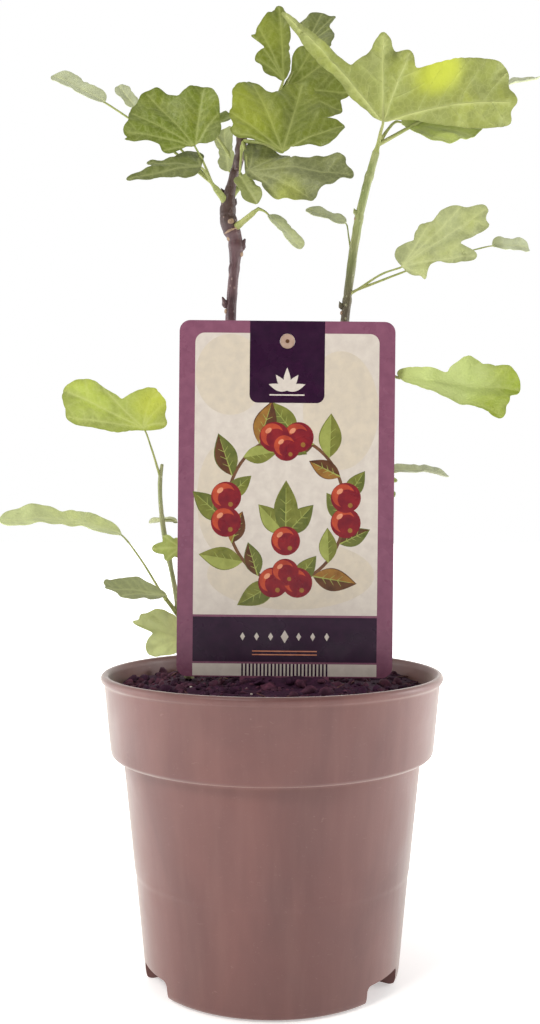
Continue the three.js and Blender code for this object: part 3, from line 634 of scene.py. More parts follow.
def edge_radius(form, angle):
    """How far a leaf's edge lies from its centre, at angles from the midrib."""
    total = np.full_like(angle, form["core"] ** LOBE_BLEND)
    for turn, reach, half_width in form["lobes"]:
        off = angle - math.radians(turn)
        cos, sin = np.cos(off), np.sin(off)
        slim = (reach / 2 / half_width) ** 2
        total += (reach * np.maximum(cos, 0) / (cos**2 + slim * sin**2)) ** LOBE_BLEND
    return total ** (1 / LOBE_BLEND)


class Outline:
    """A leaf's edge in millimetres, with the teeth of its margin."""

    def __init__(self, form, length, rng):
        self.centre = form["centre"] * length
        self.angles = np.linspace(-math.pi, math.pi, 1441)
        self.radii = edge_radius(form, self.angles) * length
        x = self.centre + self.radii * np.cos(self.angles)
        y = self.radii * np.sin(self.angles)
        run = run_along(np.stack([x, y], 1))
        self.perimeter = run[-1]
        count = int(self.perimeter / EDGE_STEP)
        self.run = np.arange(count) * self.perimeter / count
        points = np.stack([np.interp(self.run, run, x), np.interp(self.run, run, y)], 1)
        ahead = np.roll(points, -2, 0) - np.roll(points, 2, 0)
        out = np.stack([ahead[:, 1], -ahead[:, 0]], 1)
        out /= np.linalg.norm(out, axis=1)[:, None] + 1e-9
        teeth = max(6, round(self.perimeter / TOOTH_PITCH))
        phase = math.pi * teeth * self.run / self.perimeter
        phase += 0.9 * np.sin(phase * 2 / 7 + rng.uniform(0, 6)) + rng.uniform(0, 6)
        depth = min(0.27, 0.0085 * length) * (0.7 + 0.5 * np.sin(phase / 5 + rng.uniform(0, 6)))
        from_base = np.hypot(points[:, 0], points[:, 1])
        depth = depth * np.clip(from_base / (0.12 * length) - 0.4, 0, 1)
        self.points = points + out * (depth * (np.abs(np.sin(phase)) ** 0.7 - 0.62))[:, None]

    def at(self, angle):
        return np.interp(angle, self.angles, self.radii)

    def inside(self, points, inset):
        """Which points lie inside the edge by inset, measured towards the leaf's centre."""
        x, y = points[:, 0] - self.centre, points[:, 1]
        return np.hypot(x, y) < self.at(np.arctan2(y, x)) - inset


def main_veins(form, outline, length):
    """Veins from the base to the tip of each main lobe."""
    chosen, veins = [], []
    for turn, reach, _ in sorted(form["lobes"], key=lambda lobe: -lobe[1]):
        if reach < 0.24 or any(abs(turn - other) < 18 for other in chosen):
            continue
        angle = math.radians(turn)
        tip = (outline.centre, 0) + 0.94 * outline.at(angle) * ray(angle)
        far = np.linalg.norm(tip)
        if far < 0.22 * length:
            continue
        chosen.append(turn)
        knee = 0.5 * far * ray(math.atan2(tip[1], tip[0]) * 0.86)
        t = np.linspace(0, 1, max(6, int(far / VEIN_STEP)))[:, None]
        line = 2 * t * (1 - t) * knee + t**2 * tip
        wide = 0.0105 * length * (0.55 + 0.45 * reach)
        veins.append((line, np.linspace(wide, 0.3 * wide, len(line))))
    return veins


def side_vein(spot, ahead, turn, line, rivals, outline):
    """One vein that leaves a main one and ends near the margin or half way to another."""
    trail = [spot]
    for _ in range(60):
        spot = spot + spun(ahead, turn) * VEIN_STEP * 0.85
        turn *= 0.985
        if not outline.inside(spot[None], 0.55)[0]:
            break
        near = lambda points: np.linalg.norm(points - spot, axis=1).min()
        if near(rivals) < near(line):
            break
        trail.append(spot)
    return np.array(trail)


def side_veins(mains, outline, length, rng):
    """Veins that leave the main ones on alternate sides and curve towards the margin."""
    veins = []
    spacing = min(8.5, max(3.2, 0.145 * length))
    for k, (line, widths) in enumerate(mains):
        rivals = [other for i, (other, _) in enumerate(mains) if i != k] or [np.full((1, 2), 1e9)]
        rivals = np.concatenate(rivals)
        run = run_along(line)
        for side in (1, -1):
            at = spacing * (1.1 + 0.5 * (side < 0) + rng.uniform(-0.1, 0.1))
            while at < run[-1] * 0.93:
                i = min(int(np.searchsorted(run, at)), len(line) - 2)
                ahead = unit(line[i + 1] - line[i - 1])
                turn = side * math.radians(52 + rng.uniform(-5, 5))
                trail = side_vein(line[i], ahead, turn, line, rivals, outline)
                if len(trail) > 2:
                    wide = 0.5 * widths[i] + 0.03
                    veins.append((trail, np.linspace(wide, 0.4 * wide, len(trail))))
                at += spacing * rng.uniform(0.9, 1.1)
    return veins


def within(points, ring):
    """Which points lie inside a closed ring."""
    x, y = points[:, :1], points[:, 1:]
    a, b = ring, np.roll(ring, -1, 0)
    spans = (a[:, 1] > y) != (b[:, 1] > y)
    rise = b[:, 1] - a[:, 1]
    cut = a[:, 0] + (y - a[:, 1]) / np.where(rise == 0, 1e-9, rise) * (b[:, 0] - a[:, 0])
    return (spans & (x < cut)).sum(1) % 2 == 1


def near_line(points, lines):
    """Each point's distance to the nearest vein, and that vein's half-width there."""
    starts = np.concatenate([line[:-1] for line, _ in lines])
    span = np.concatenate([line[1:] for line, _ in lines]) - starts
    wide = np.concatenate([(w[:-1] + w[1:]) / 2 for _, w in lines])
    reach = (span**2).sum(1) + 1e-12
    best, width = np.full(len(points), 1e9), np.zeros(len(points))
    for block in np.array_split(np.arange(len(points)), max(1, len(points) // 600)):
        off = points[block][:, None] - starts
        t = np.clip((off * span).sum(2) / reach, 0, 1)
        gap = np.linalg.norm(off - t[..., None] * span, axis=2)
        pick = gap.argmin(1)
        best[block] = gap[np.arange(len(block)), pick]
        width[block] = wide[pick]
    return best, width


def painted_glow_at(row, points):
    """How much painted sunlight each point of a blade shows; points are in blade lengths."""
    if row["glow"] is None:
        return np.zeros(len(points))
    turn, reach, size, strength = row["glow"]
    aim = ray(math.radians(turn))
    off = points - (FORMS[row["form"]]["centre"], 0)
    ahead = (off @ aim - reach) / (1.3 * size)
    aside = (off[:, 0] * aim[1] - off[:, 1] * aim[0]) / size
    return strength * np.exp(-((ahead**2 + aside**2) ** 2))


def cut_flat(loops, lines, loose, fineness):
    """Flat faces inside the first loop, cut along all loops and lines and through loose points."""
    coords, edges = [], []
    for k, line in enumerate([*loops, *lines]):
        numbers = list(range(len(coords), len(coords) + len(line)))
        edges += zip(numbers, numbers[1:] + numbers[:1] * (k < len(loops)))
        coords += [tuple(p) for p in line]
    coords += [tuple(p) for p in loose]
    points, _, faces, *_ = delaunay_2d_cdt(coords, edges, [], 1, fineness, False)
    points, faces = np.array([tuple(p) for p in points]), np.array(faces)
    return points, faces[within(points[faces].mean(1), loops[0])]


def blade_net(outline, veins, length, rng):
    """A flat net of triangles inside a leaf's edge, along its veins and along both their sides."""
    lines = []
    for line, widths in veins:
        lines.append(line)
        for side in (1, -1):
            band = line + side * leftwards(line) * widths[:, None]
            lines.append(band[outline.inside(band, 0.3)][1:])
    grid = min(1.3, max(0.6, 0.03 * length))
    low, high = outline.points.min(0), outline.points.max(0)
    fill = []
    for i, y in enumerate(np.arange(low[1], high[1], grid * 0.866)):
        x = np.arange(low[0] + (i % 2) * grid / 2, high[0], grid)
        fill.append(np.stack([x, np.full(len(x), y)], 1))
    fill = np.concatenate(fill)
    fill = fill + rng.uniform(-0.12, 0.12, fill.shape) * grid
    fill = fill[outline.inside(fill, 0.45 * grid)]
    fill = fill[near_line(fill, veins)[0] > 0.6 * grid]
    return cut_flat([outline.points], lines, fill, 1e-4)


def blade_mesh(piece, row, base, rng, slots, cell, cells):
    """A thick blade with raised veins, puckered between them, and a waved, toothed margin."""
    form, length = FORMS[row["form"]], row["blade"][2]
    outline = Outline(form, length, rng)
    mains = main_veins(form, outline, length)
    veins = mains + side_veins(mains, outline, length, rng)
    points, faces = blade_net(outline, veins, length, rng)
    low, high = outline.points.min(0), outline.points.max(0)
    gap, wide = near_line(points, veins)
    main_gap, main_wide = near_line(points, mains)
    edge_gap = np.linalg.norm(points[:, None] - outline.points[None], axis=2)
    along = outline.run[edge_gap.argmin(1)] / outline.perimeter * 2 * math.pi
    edge_gap = edge_gap.min(1)

    # the blade's height: waves at the margin, swellings between the veins and a gentle roll
    waves = max(4, round(outline.perimeter / WAVE_PITCH))
    wave = np.sin(waves * along + rng.uniform(0, 6))
    wave += 0.5 * np.sin((2 * waves + 1) * along + rng.uniform(0, 6))
    from_base = np.hypot(points[:, 0], points[:, 1]) / length
    calm = min(1, (high[1] - low[1]) / length / 0.7)
    wave *= calm * np.clip(from_base * 3 - 0.3, 0, 1)
    lift = WAVE[0] * length * wave * np.exp(-edge_gap / (WAVE[1] * length))
    swell = SWELL[0] * length * (1 - np.exp(-gap / (SWELL[1] * length)))
    swell += PUCKER[0] * length * (1 - np.exp(-((main_gap / (PUCKER[1] * length)) ** 2)))
    u, v = points.T / length
    tilt = rng.uniform(0, 6, 4)
    roll = np.sin(5.5 * u + tilt[0]) * np.sin(6 * v + tilt[1])
    roll += 0.7 * np.sin(9 * u - 5 * v + tilt[2]) + 0.4 * np.sin(14 * v + 6 * u + tilt[3])
    lift = lift + calm * swell + ROLL * length * calm * roll * np.clip(from_base * 4, 0, 1)
    half = LEAF_THICKNESS / 2 * (0.55 + 0.45 * np.clip(edge_gap / 1.2, 0, 1))
    ridge = np.clip(1 - gap / (wide * 1.05 + 1e-6), 0, 1) * wide
    top = blade_points(row, base, u, v, (lift + half + 0.35 * ridge) / length)
    under = blade_points(row, base, u, v, (lift - half - ridge) / length)

    main_near = np.clip(1 - main_gap / (main_wide * 2 + 0.1), 0, 1)
    vein = np.maximum(main_near, 0.42 * np.clip(1 - gap / (wide * 2 + 0.05), 0, 1))
    own = np.full(len(points), rng.uniform(0, 1))
    # the fourth channel is the patch of painted sunlight
    shade = np.stack([vein, np.exp(-edge_gap / 0.9), own, painted_glow_at(row, points / length)], 1)
    count = len(points)
    place = (points - low) / (1.1 * max(high - low)) + 0.04
    sheet = [(place + (k % cells, k // cells)) / cells for k in (cell, cell + 1)]
    both, shades = np.concatenate([top, under]), np.concatenate([shade, shade])
    piece.add(both, faces, slots[0], sheet[0][faces], shades)
    piece.more(faces[:, ::-1] + count, slots[1], sheet[1][faces[:, ::-1]])
    ring = np.concatenate([faces[:, [0, 1]], faces[:, [1, 2]], faces[:, [2, 0]]])
    key = np.sort(ring, axis=1) @ np.array([count, 1])
    _, inverse, times = np.unique(key, return_inverse=True, return_counts=True)
    a, b = ring[times[inverse] == 1].T
    rim = np.stack([b, a, a + count, b + count], 1)
    piece.more(rim, slots[0], sheet[0][np.stack([b, a, a, b], 1)])


def stalk_mesh(piece, row, start, base, slim):
    """A stalk that arches a little, swells at both ends and runs out under the midrib."""
    up, length, reach = blade_axes(row)[2], row["blade"][2], np.linalg.norm(base - start)
    middle = start + 0.55 * (base - start)
    middle[2] += min(1.2, 0.06 * reach)
    under = np.array([0.45, 0.35]) / length
    path = [start, middle, base - 0.3 * up]
    path += list(blade_points(row, base, np.array([0.07, 0.16]), np.zeros(2), -under))
    first, last = (slim * radius for radius in STALK_RADII)
    slender = min(1, 0.55 + 0.012 * length)
    radii = [first * 1.15, (first + last) / 2 * slender, last * 1.05 * slender, 0.35, 0.12]
    groove = lambda angles, run: -0.05 * np.cos(3 * angles) + 0.02 * np.sin(5 * angles + run)
    sweep(piece, path, radii, STALK_SIDES, 12 + int(reach / 1.5), 0, groove, cap=0.6)


def start_of(mass):
    """Where a mass's stalks start, and where its spur starts if it has one."""
    path = paths[mass["on"]]
    if "at" not in mass:
        return path[-1] + unit(path[-1] - path[-2]) * SPUR["length"], path[-1]
    start = on_stem(mass["on"], mass["at"])
    if "aim" not in mass:
        return start, None
    reach = SPUR["length"] + SPUR["extra_on_stem"]
    return start + direction(mass["aim"]) * reach, start


def grow(name, rows, limbs, number):
    """The pieces of one mass: its blades, and its stalks with the twig they grow on."""
    tones = sorted({row["tone"] for row, _ in rows})
    materials = [m for tone in tones for m in leaf_material[tone]]
    blades, stalks = Piece(name + "_leaves"), Piece(name + "_stalks")
    cells = math.ceil(math.sqrt(2 * len(rows)))
    for path, radii in limbs:
        groove = lambda angles, run: 0.04 * np.sin(3 * angles + run * 0.8)
        sweep(stalks, path, radii, TWIG_SIDES, 10, 0, groove, cap=0.9)
    for i, (row, start) in enumerate(rows):
        base = start + direction(row["stalk"]) * row["stalk"][2]
        rng = np.random.default_rng(1000 * number + i)
        pair = 2 * tones.index(row["tone"])
        blade_mesh(blades, row, base, rng, (pair, pair + 1), 2 * i, cells)
        stalk_mesh(stalks, row, start, base, SLIM.get(name, 1))
    blades.build(materials, [name], "foliage", sharp=58, mapped=True)
    stalks.build([stalk_green], [name], "foliage", sharp=70)


leaf_material = {tone: leaf_materials(tone) for tone in TONES}
stalk_green = bark_material("stalk_green", (149, 158, 90), (126, 138, 70), (172, 169, 116),
    (186, 190, 138))
brown_bark = bark_material("brown_bark", (80, 51, 55), (51, 30, 34), (113, 85, 88), (168, 140, 132),
    ((62, 44, 32), 282, 288, 0.62), (0.36, 0.54), 0.48)
green_bark = bark_material("green_bark", (148, 154, 108), (120, 126, 84), (160, 150, 116),
    (190, 190, 158))
ripe_bark = bark_material("ripe_bark", (147, 156, 98), (119, 130, 72), (163, 158, 112),
    (190, 190, 148), ((80, 68, 56), 281, 253, 0.92), (0.4, 0.6), 0.42)
scar_bark = bark_material("scar_bark", (170, 144, 120), (136, 108, 90), (150, 126, 104),
    (190, 168, 144))

for number, (name, mass) in enumerate(MASSES.items()):
    start, spur = start_of(mass)
    slim = SLIM.get(name, 1)
    foot = SPUR["radius"] * slim**0.5
    if "at" not in mass:
        foot = STEMS[mass["on"]][-1][3] if mass["on"] in STEMS else BOUGHS[mass["on"]]["radii"][1]
    limbs = []
    if spur is not None:
        limbs = [([spur, (spur + start) / 2, start], [foot, 0.95 * slim, 0.8 * slim])]
    grow(name, [(row, start) for row in mass["leaves"]], limbs, number)

for number, (name, shoot) in enumerate(BACK_SHOOTS.items()):
    start = on_stem(shoot["on"], shoot["at"])
    end = start + direction(shoot["aim"]) * shoot["length"]
    rows = shoot_leaves(shoot, start)
    grow(name, rows, [([start, (start + end) / 2, end], SHOOT["radii"])], 100 + number)

# ------------------------------------------------------------------ stems and boughs


def bell(x):
    return np.exp(-(x**2))


def bark_relief(seed, strength, nodes=(), knots=()):
    """Height of the bark over a limb: long ribs that wander, swollen nodes, and knots, each its
    height above the limb's start, its angle (0 is left, 90 in front), its size and its width."""
    rng = np.random.default_rng(seed)
    waves = [(k, rng.uniform(-0.5, 0.5), rng.uniform(0, 6), rng.uniform(0.5, 1) / k**0.4)
        for k in (2, 3, 5, 7, 9, 12)]

    def height(angles, run):
        ribs = sum(a * np.sin(k * angles + m * run + p) for k, m, p, a in waves)
        rings = sum(size * (bell((run - at) / 1.5) - 0.5 * bell((run - at - 2) / 0.5))
            for at, size in nodes)
        lumps = sum(size * bell((run - at) / wide)
            * np.exp(3 / wide * (np.cos(angles - math.radians(turn)) - 1))
            for at, turn, size, wide in knots)
        return strength * ribs + rings + lumps

    return height


def scar(piece, stem, height, heading, radius, size):
    """The oval scar of a fallen leaf, and above it a pointed bud of overlapping scales."""
    middle, out = on_stem(stem, height), direction((heading, 0))
    at = middle + out * (radius - 0.25)
    sweep(piece, [at, at + out * 0.45], [radius * 0.5, radius * 0.36], TWIG_SIDES, 3, 1, cap=0.3)
    foot, wide = middle + (0, 0, 1.8) + out * (radius - 0.45), 0.95 * size
    rise = direction((heading, 66)) * 2.7 * size
    scales = lambda angles, run: 0.1 * wide * np.sin(2 * angles + 1.6 * run)
    widths = [wide * 0.75, wide, wide * 0.62, wide * 0.1]
    sweep(piece, [foot, foot + rise * 0.5, foot + rise], widths, TWIG_SIDES, 12, 0, scales)


# Bark, slot, steps, and node heights above the limb's start with their swelling.
LIMBS = {
    "stem_left": (brown_bark, "brown_bark", 260, [(14, 0.3), (45, 0.32), (78, 0.3), (108, 0.3),
        (138, 0.3), (160, 0.25), (169, 0.2), (174.2, 0.34), (179, 0.3), (183, 0.26), (187, 0.24)]),
    "stem_right": (ripe_bark, "green_bark", 220, [(16, 0.22), (50, 0.25), (84, 0.25), (116, 0.25),
        (148, 0.25), (180, 0.2), (196, 0.25)]),
    "stem_low": (green_bark, "green_bark", 100, [(12, 0.15), (30, 0.2), (48, 0.2), (64, 0.15)]),
    "bough_left": (stalk_green, "green_bark", 16, [(2, 0.1)]),
    "bough_crown": (brown_bark, "green_bark", 30, [(5, 0.2), (11, 0.2)]),
    "bough_back": (stalk_green, "green_bark", 18, [(4, 0.1)]),
    "bough_right": (stalk_green, "green_bark", 18, [(4, 0.12)]),
    "bough_low": (stalk_green, "green_bark", 16, [(3, 0.1)]),
}
# Leaf scars on each stem: height, heading and the size of the bud.
SCARS = {
    "stem_left": [(126, 200, 1), (157, 20, 1), (190, 190, 1.1), (220, 340, 1), (253, 190, 1.5),
        (275, 345, 1.6), (281, 200, 1.2), (287, 285, 1.2), (292, 20, 1.1), (296, 170, 1)],
    "stem_right": [(128, 330, 1), (161, 150, 1), (195, 300, 1), (224, 120, 1), (252, 190, 1.1),
        (288, 200, 0.9)],
    "stem_low": [(124, 160, 0.8), (142, 300, 0.8)],
}
# Knots on each stem, as bark_relief takes them; the wide ones below 0 are where it is slimmer.
KNOTS = {
    "stem_left": [(168.5, 185, 0.7, 2.6), (176, 20, 0.45, 1.6), (181, 60, 0.4, 1.3),
        (184.5, 130, 0.5, 1.5), (188, 20, 0.4, 1.2), (159.5, 180, -0.75, 6), (148, 180, -0.4, 7)],
    "stem_right": [(145, 180, -0.32, 14)],
    "stem_low": [(40, 180, -0.42, 14), (70, 180, -0.14, 12)],
}


def stem_bark(piece, name, number, steps, nodes):
    """A stem with seeded knots besides its named ones, and its leaf scars."""
    radii = [row[3] for row in STEMS[name]]
    rng = np.random.default_rng(50 + number)
    long = STEMS[name][-1][2] - GROUND
    knots = [(long * rng.uniform(0, 1) ** 0.7, rng.uniform(0, 360),
        rng.uniform(0.06, 0.2) * radii[2] / 2.4, rng.uniform(0.7, 2))
        for _ in range(60 if name == "stem_left" else 36)]
    relief = bark_relief(number, 0.035 * min(radii[1], 2), nodes, knots + KNOTS[name])
    sweep(piece, paths[name], radii, STEM_SIDES, steps, 0, relief, clip=GROUND)
    for height, heading, size in SCARS[name]:
        wide = float(np.interp(height, [row[2] for row in STEMS[name]], radii))
        scar(piece, name, height, heading, wide, size)


for number, (name, (bark, slot_name, steps, nodes)) in enumerate(LIMBS.items()):
    piece = Piece(name + "_bark")
    if name in STEMS:
        stem_bark(piece, name, number, steps, nodes)
    else:
        radii = [radius * SLIM.get(name, 1) for radius in BOUGHS[name]["radii"]]
        radii = [radii[0] * 1.12, sum(radii) / 2, radii[1]]
        sweep(piece, paths[name], radii, BOUGH_SIDES, steps, 0, bark_relief(number, 0.04, nodes))
    if name == "stem_left":
        # the pale scar that runs round the stem
        ring = [on_stem(name, height) for height in (283.3, 283.9, 284.5)]
        sweep(piece, ring, [3.0, 3.45, 3.1], STEM_SIDES, 8, 1, bark_relief(30, 0.07), cap=0.1)
    if name == "bough_crown":
        # the blunt, cut end of the old shoot, and its pale wood
        end = [(-13.2, -1, 306), (-12.3, -2, 311), (-11.7, -2.6, 317), (-11.6, -2.7, 319)]
        knots = [(3, 90, 0.4, 1.5), (7, 30, 0.35, 1.3), (9, 150, 0.4, 1.4)]
        relief = bark_relief(31, 0.08, [(8, 0.2)], knots)
        sweep(piece, end, [1.4, 1.7, 2.1, 2.1], 32, 40, 0, relief, cap=0.25)
        wood = [(-11.6, -2.7, 319.1), (-11.58, -2.72, 319.7)]
        sweep(piece, wood, [1.45, 1.3], 24, 2, 1, cap=0.15)
    piece.build([bark, scar_bark], [name], slot_name, sharp=75)

# ------------------------------------------------------------------ pot


def rounded(corners):
    """The profile with each corner (radius, height, rounding) rounded off."""
    out = []
    for i, (x, z, size) in enumerate(corners):
        here = np.array([x, z], float)
        if size == 0 or i in (0, len(corners) - 1):
            out.append(here)
            continue
        before, after = (np.array(corners[k][:2], float) - here for k in (i - 1, i + 1))
        size = min(size, 0.45 * np.linalg.norm(before), 0.45 * np.linalg.norm(after))
        a, b = here + unit(before) * size, here + unit(after) * size
        out += [(1 - t) ** 2 * a + 2 * t * (1 - t) * here + t * t * b for t in np.linspace(0, 1, 6)]
    return np.array(out)


def turned(piece, profile, sides, wobble=None):
    """A closed solid of revolution; the profile starts and ends on the axis."""
    angles = np.arange(sides) * 2 * math.pi / sides
    ring = np.stack([np.cos(angles), np.sin(angles), np.ones(sides)], 1)
    points = np.concatenate([ring * (radius, radius, height) for radius, height in profile[1:-1]])
    if wobble:
        points = wobble(points)
    ends = [(0, 0, profile[0][1]), (0, 0, profile[-1][1])]
    lattice(piece, points.reshape(-1, sides, 3), ends, 0)


# Radius, height and rounding, from the middle of the underside round to the floor inside.
POT_PROFILE = [
    (0, 0.7, 0), (38, 0.7, 0.5), (39, 0, 0.4), (46.1, 0, 0.8), (47.8, 0.8, 0.7), (48.3, 2.4, 0.8),
    (51.84, 38.6, 1), (52.24, 40.4, 0.8), (56.5, 82, 1), (57.5, 83, 0.7), (59.9, 83.3, 0.5),
    (61.1, 84.4, 0.6), (61.45, 86.6, 1), (63.75, 110.4, 0.8), (64.75, 111.4, 0.5),
    (65, 112, 0.6), (65, 113.1, 0.8), (64.2, 114, 0.8), (62.7, 114, 0.8), (61.8, 112.4, 1),
    (59.35, 86.6, 1.2), (58.6, 85, 1), (55, 82.4, 1), (46.9, 14, 2), (44.2, 10, 2), (43.7, 3, 1.4),
    (0, 3, 0),
]
POT_SIDES, SOIL_SIDES = 240, 200
# The notches at the pot's foot. Each has a boss that starts boss_in from the foot and boss_up from
# the floor; the cut runs past the pot's skin and below the floor.
NOTCH = dict(headings=(206, 327, 86), width=22, height=7, depth=9, wall=1.6, corner=2, foot=48.3,
    boss_in=3.8, boss_up=1.5, past=6, below=-2)


def notch_block(heading, near, far, wide, low, high, corner):
    """A block across one drainage notch, whose upper edges are rounded."""
    t = np.linspace(0, math.pi / 2, 7)
    side = np.stack([corner * (1 - np.cos(t)) - wide, high - corner * (1 - np.sin(t))], 1)
    loop = np.concatenate([[(-wide, low)], side, side[::-1] * (-1, 1), [(wide, low)]])
    c, s = ray(math.radians(heading))
    rings = [np.stack([x * c - loop[:, 0] * s, x * s + loop[:, 0] * c, loop[:, 1]], 1)
        for x in (near, far)]
    count = len(loop)
    faces = [(i, i + count, (i + 1) % count + count, (i + 1) % count) for i in range(count)]
    faces += [tuple(range(count)), tuple(range(count, 2 * count))[::-1]]
    mesh = bpy.data.meshes.new("block")
    mesh.from_pydata([tuple(p * MM) for p in np.concatenate(rings)], [], faces)
    mesh.update()
    return in_scene("block", mesh)


def notched(item):
    """Cuts the drainage notches, each a pocket walled off from the compost."""
    foot, wall, wide = NOTCH["foot"], NOTCH["wall"], NOTCH["width"] / 2
    inner, high, corner = foot - NOTCH["depth"], NOTCH["height"], NOTCH["corner"]
    blocks = []
    for heading in NOTCH["headings"]:
        boss = notch_block(heading, inner - wall, foot - NOTCH["boss_in"], wide + wall,
            NOTCH["boss_up"], high + wall, corner)
        blocks.append((boss, "UNION"))
    for heading in NOTCH["headings"]:
        far, low = foot + NOTCH["past"], NOTCH["below"]
        blocks.append((notch_block(heading, inner, far, wide, low, high, corner), "DIFFERENCE"))
    for block, operation in blocks:
        cut = item.modifiers.new("cut", "BOOLEAN")
        cut.operation, cut.object, cut.solver = operation, block, "EXACT"
    graph = bpy.context.evaluated_depsgraph_get()
    mesh = bpy.data.meshes.new_from_object(item.evaluated_get(graph))
    item.modifiers.clear()
    item.data = mesh
    for block, _ in blocks:
        bpy.data.objects.remove(block)
    smooth(mesh, 40)


def pot_material():
    """Satin moulded plastic: cloudy, with faint flow lines, scuffs and dust."""
    n = Nodes("pot_plastic")
    clouds = n.patches(26, 4, 0.36, 0.64, stretch=(1, 1, 0.5), distortion=0.6)
    base = n.mix(clouds, linear((119, 77, 72)), linear((104, 67, 64)))
    flow = n.patches(150, 4, 0.45, 0.7, stretch=(1, 1, 0.06))
    base = n.tint(base, flow, 0.22, (134, 96, 88))
    scuff = n.patches(330, 5, 0.66, 0.74, stretch=(1, 1, 2.6), distortion=1.4)
    base = n.tint(base, scuff, 0.35, (150, 116, 108))
    n.set(Base_Color=n.tint(base, n.patches(1500, 3, 0.66, 0.8), 0.25, (170, 142, 130)))
    gloss = n.patches(48, 4, 0.3, 0.7, 0.36, 0.52, distortion=0.6)
    n.set(Roughness=gloss, Specular_IOR_Level=0.5)
    n.set(Sheen_Weight=0.95, Sheen_Roughness=0.34, Sheen_Tint=linear((250, 245, 238)))
    n.bumps((n.noise(40, 2, stretch=(1, 1, 0.35)), 0.3), (n.noise(1800, 3), 0.02),
        (n.noise(260, 3, stretch=(1, 1, 0.08)), 0.03))
    return n.material


piece = Piece("pot_shell")
turned(piece, rounded(POT_PROFILE), POT_SIDES)
notched(piece.build([pot_material()], ["pot"], "pot_plastic"))

# ------------------------------------------------------------------ compost

LABEL = dict(width=80, height=132, thickness=1, corner=4, hole=2.8, hole_below_top=7.5,
    stake=16.5, shoulder=20, tip=30, foot=(4.5, -15, 113.8), lean=0.56)
# The low mound of compost along the label's stake.
MOUND = dict(height=3.3, half_width=19, soft=5, depth=4, behind=0.8)
# How far out crumbs are strewn and may reach, and the room they leave the stake.
CRUMBS = dict(middle=58.2, edge=59, stake_across=18, stake_depth=0.8)


def soil_height(x, y):
    """The compost's surface: a low crown with lumps, that sinks towards the pot."""
    level = np.interp(np.hypot(x, y), (0, 36, 50, 59.5), (110.6, 110.6, 108.4, 107.8))
    lumps = 0
    for k, (scale, size) in enumerate(((0.11, 0.55), (0.23, 0.4), (0.52, 0.25), (1.1, 0.14))):
        c, s = ray(0.7 + 1.3 * k)
        a, b = scale * (x * c + y * s), scale * (y * c - x * s)
        lumps = lumps + size * np.sin(a + 1.7 * np.sin(b + k)) * np.sin(1.3 * b + k * k)
    across = np.clip((MOUND["half_width"] - np.abs(x - LABEL["foot"][0])) / MOUND["soft"], 0, 1)
    ridge = bell((y - LABEL["foot"][1] + MOUND["behind"]) / MOUND["depth"])
    return level + lumps + MOUND["height"] * across * ridge


def rough_top(points):
    top = points[:, 2] == 0
    points[top, 2] = soil_height(points[top, 0], points[top, 1])
    return points


def compost_material(name, colour, second, scale=500):
    grain = [(scale, 4, 0.35), (scale * 5, 3, 0.12)]
    return plain(name, colour, second, scale, (0.7, 0.95), grain, Specular_IOR_Level=0.25)


profile = [(0, 9.2), (43.4, 9.2), (46.2, 14), (54.4, 82), (58, 86), (59.7, 107)]
profile += [(radius, 0) for radius in np.linspace(59.7, 0.7, 64)] + [(0, 0)]
piece = Piece("soil_bed")
turned(piece, profile, SOIL_SIDES, rough_top)
piece.points[0][-1, 2] = soil_height(0, 0)
compost = [
    compost_material("compost_dark", (64, 28, 54), (44, 17, 38)),
    compost_material("compost_brown", (86, 46, 64), (60, 30, 46)),
    compost_material("compost_red", (98, 52, 70), (68, 34, 52)),
    compost_material("compost_fibre", (114, 80, 76), (84, 54, 54)),
]
perlite = plain("perlite", (206, 196, 184), (176, 164, 152), 900, (0.6, 0.85), [(1400, 3, 0.2)])
piece.build([compost[0]], ["soil"], "compost", sharp=80)


def ball():
    """A 42-point ball to make crumbs from."""
    t = (1 + math.sqrt(5)) / 2
    points = [(-1, t, 0), (1, t, 0), (-1, -t, 0), (1, -t, 0), (0, -1, t), (0, 1, t)]
    points += [(0, -1, -t), (0, 1, -t), (t, 0, -1), (t, 0, 1), (-t, 0, -1), (-t, 0, 1)]
    faces = [(0, 11, 5), (0, 5, 1), (0, 1, 7), (0, 7, 10), (0, 10, 11), (1, 5, 9), (5, 11, 4)]
    faces += [(11, 10, 2), (10, 7, 6), (7, 1, 8), (3, 9, 4), (3, 4, 2), (3, 2, 6), (3, 6, 8)]
    faces += [(3, 8, 9), (4, 9, 5), (2, 4, 11), (6, 2, 10), (8, 6, 7), (9, 8, 1)]
    points = [unit(np.array(p)) for p in points]
    finer, halves = [], {}

    def half(a, b):
        key = (min(a, b), max(a, b))
        if key not in halves:
            halves[key] = len(points)
            points.append(unit(points[a] + points[b]))
        return halves[key]

    for a, b, c in faces:
        ab, bc, ca = half(a, b), half(b, c), half(c, a)
        finer += [(a, ab, ca), (b, bc, ab), (c, ca, bc), (ab, bc, ca)]
    return np.array(points), np.array(finer)


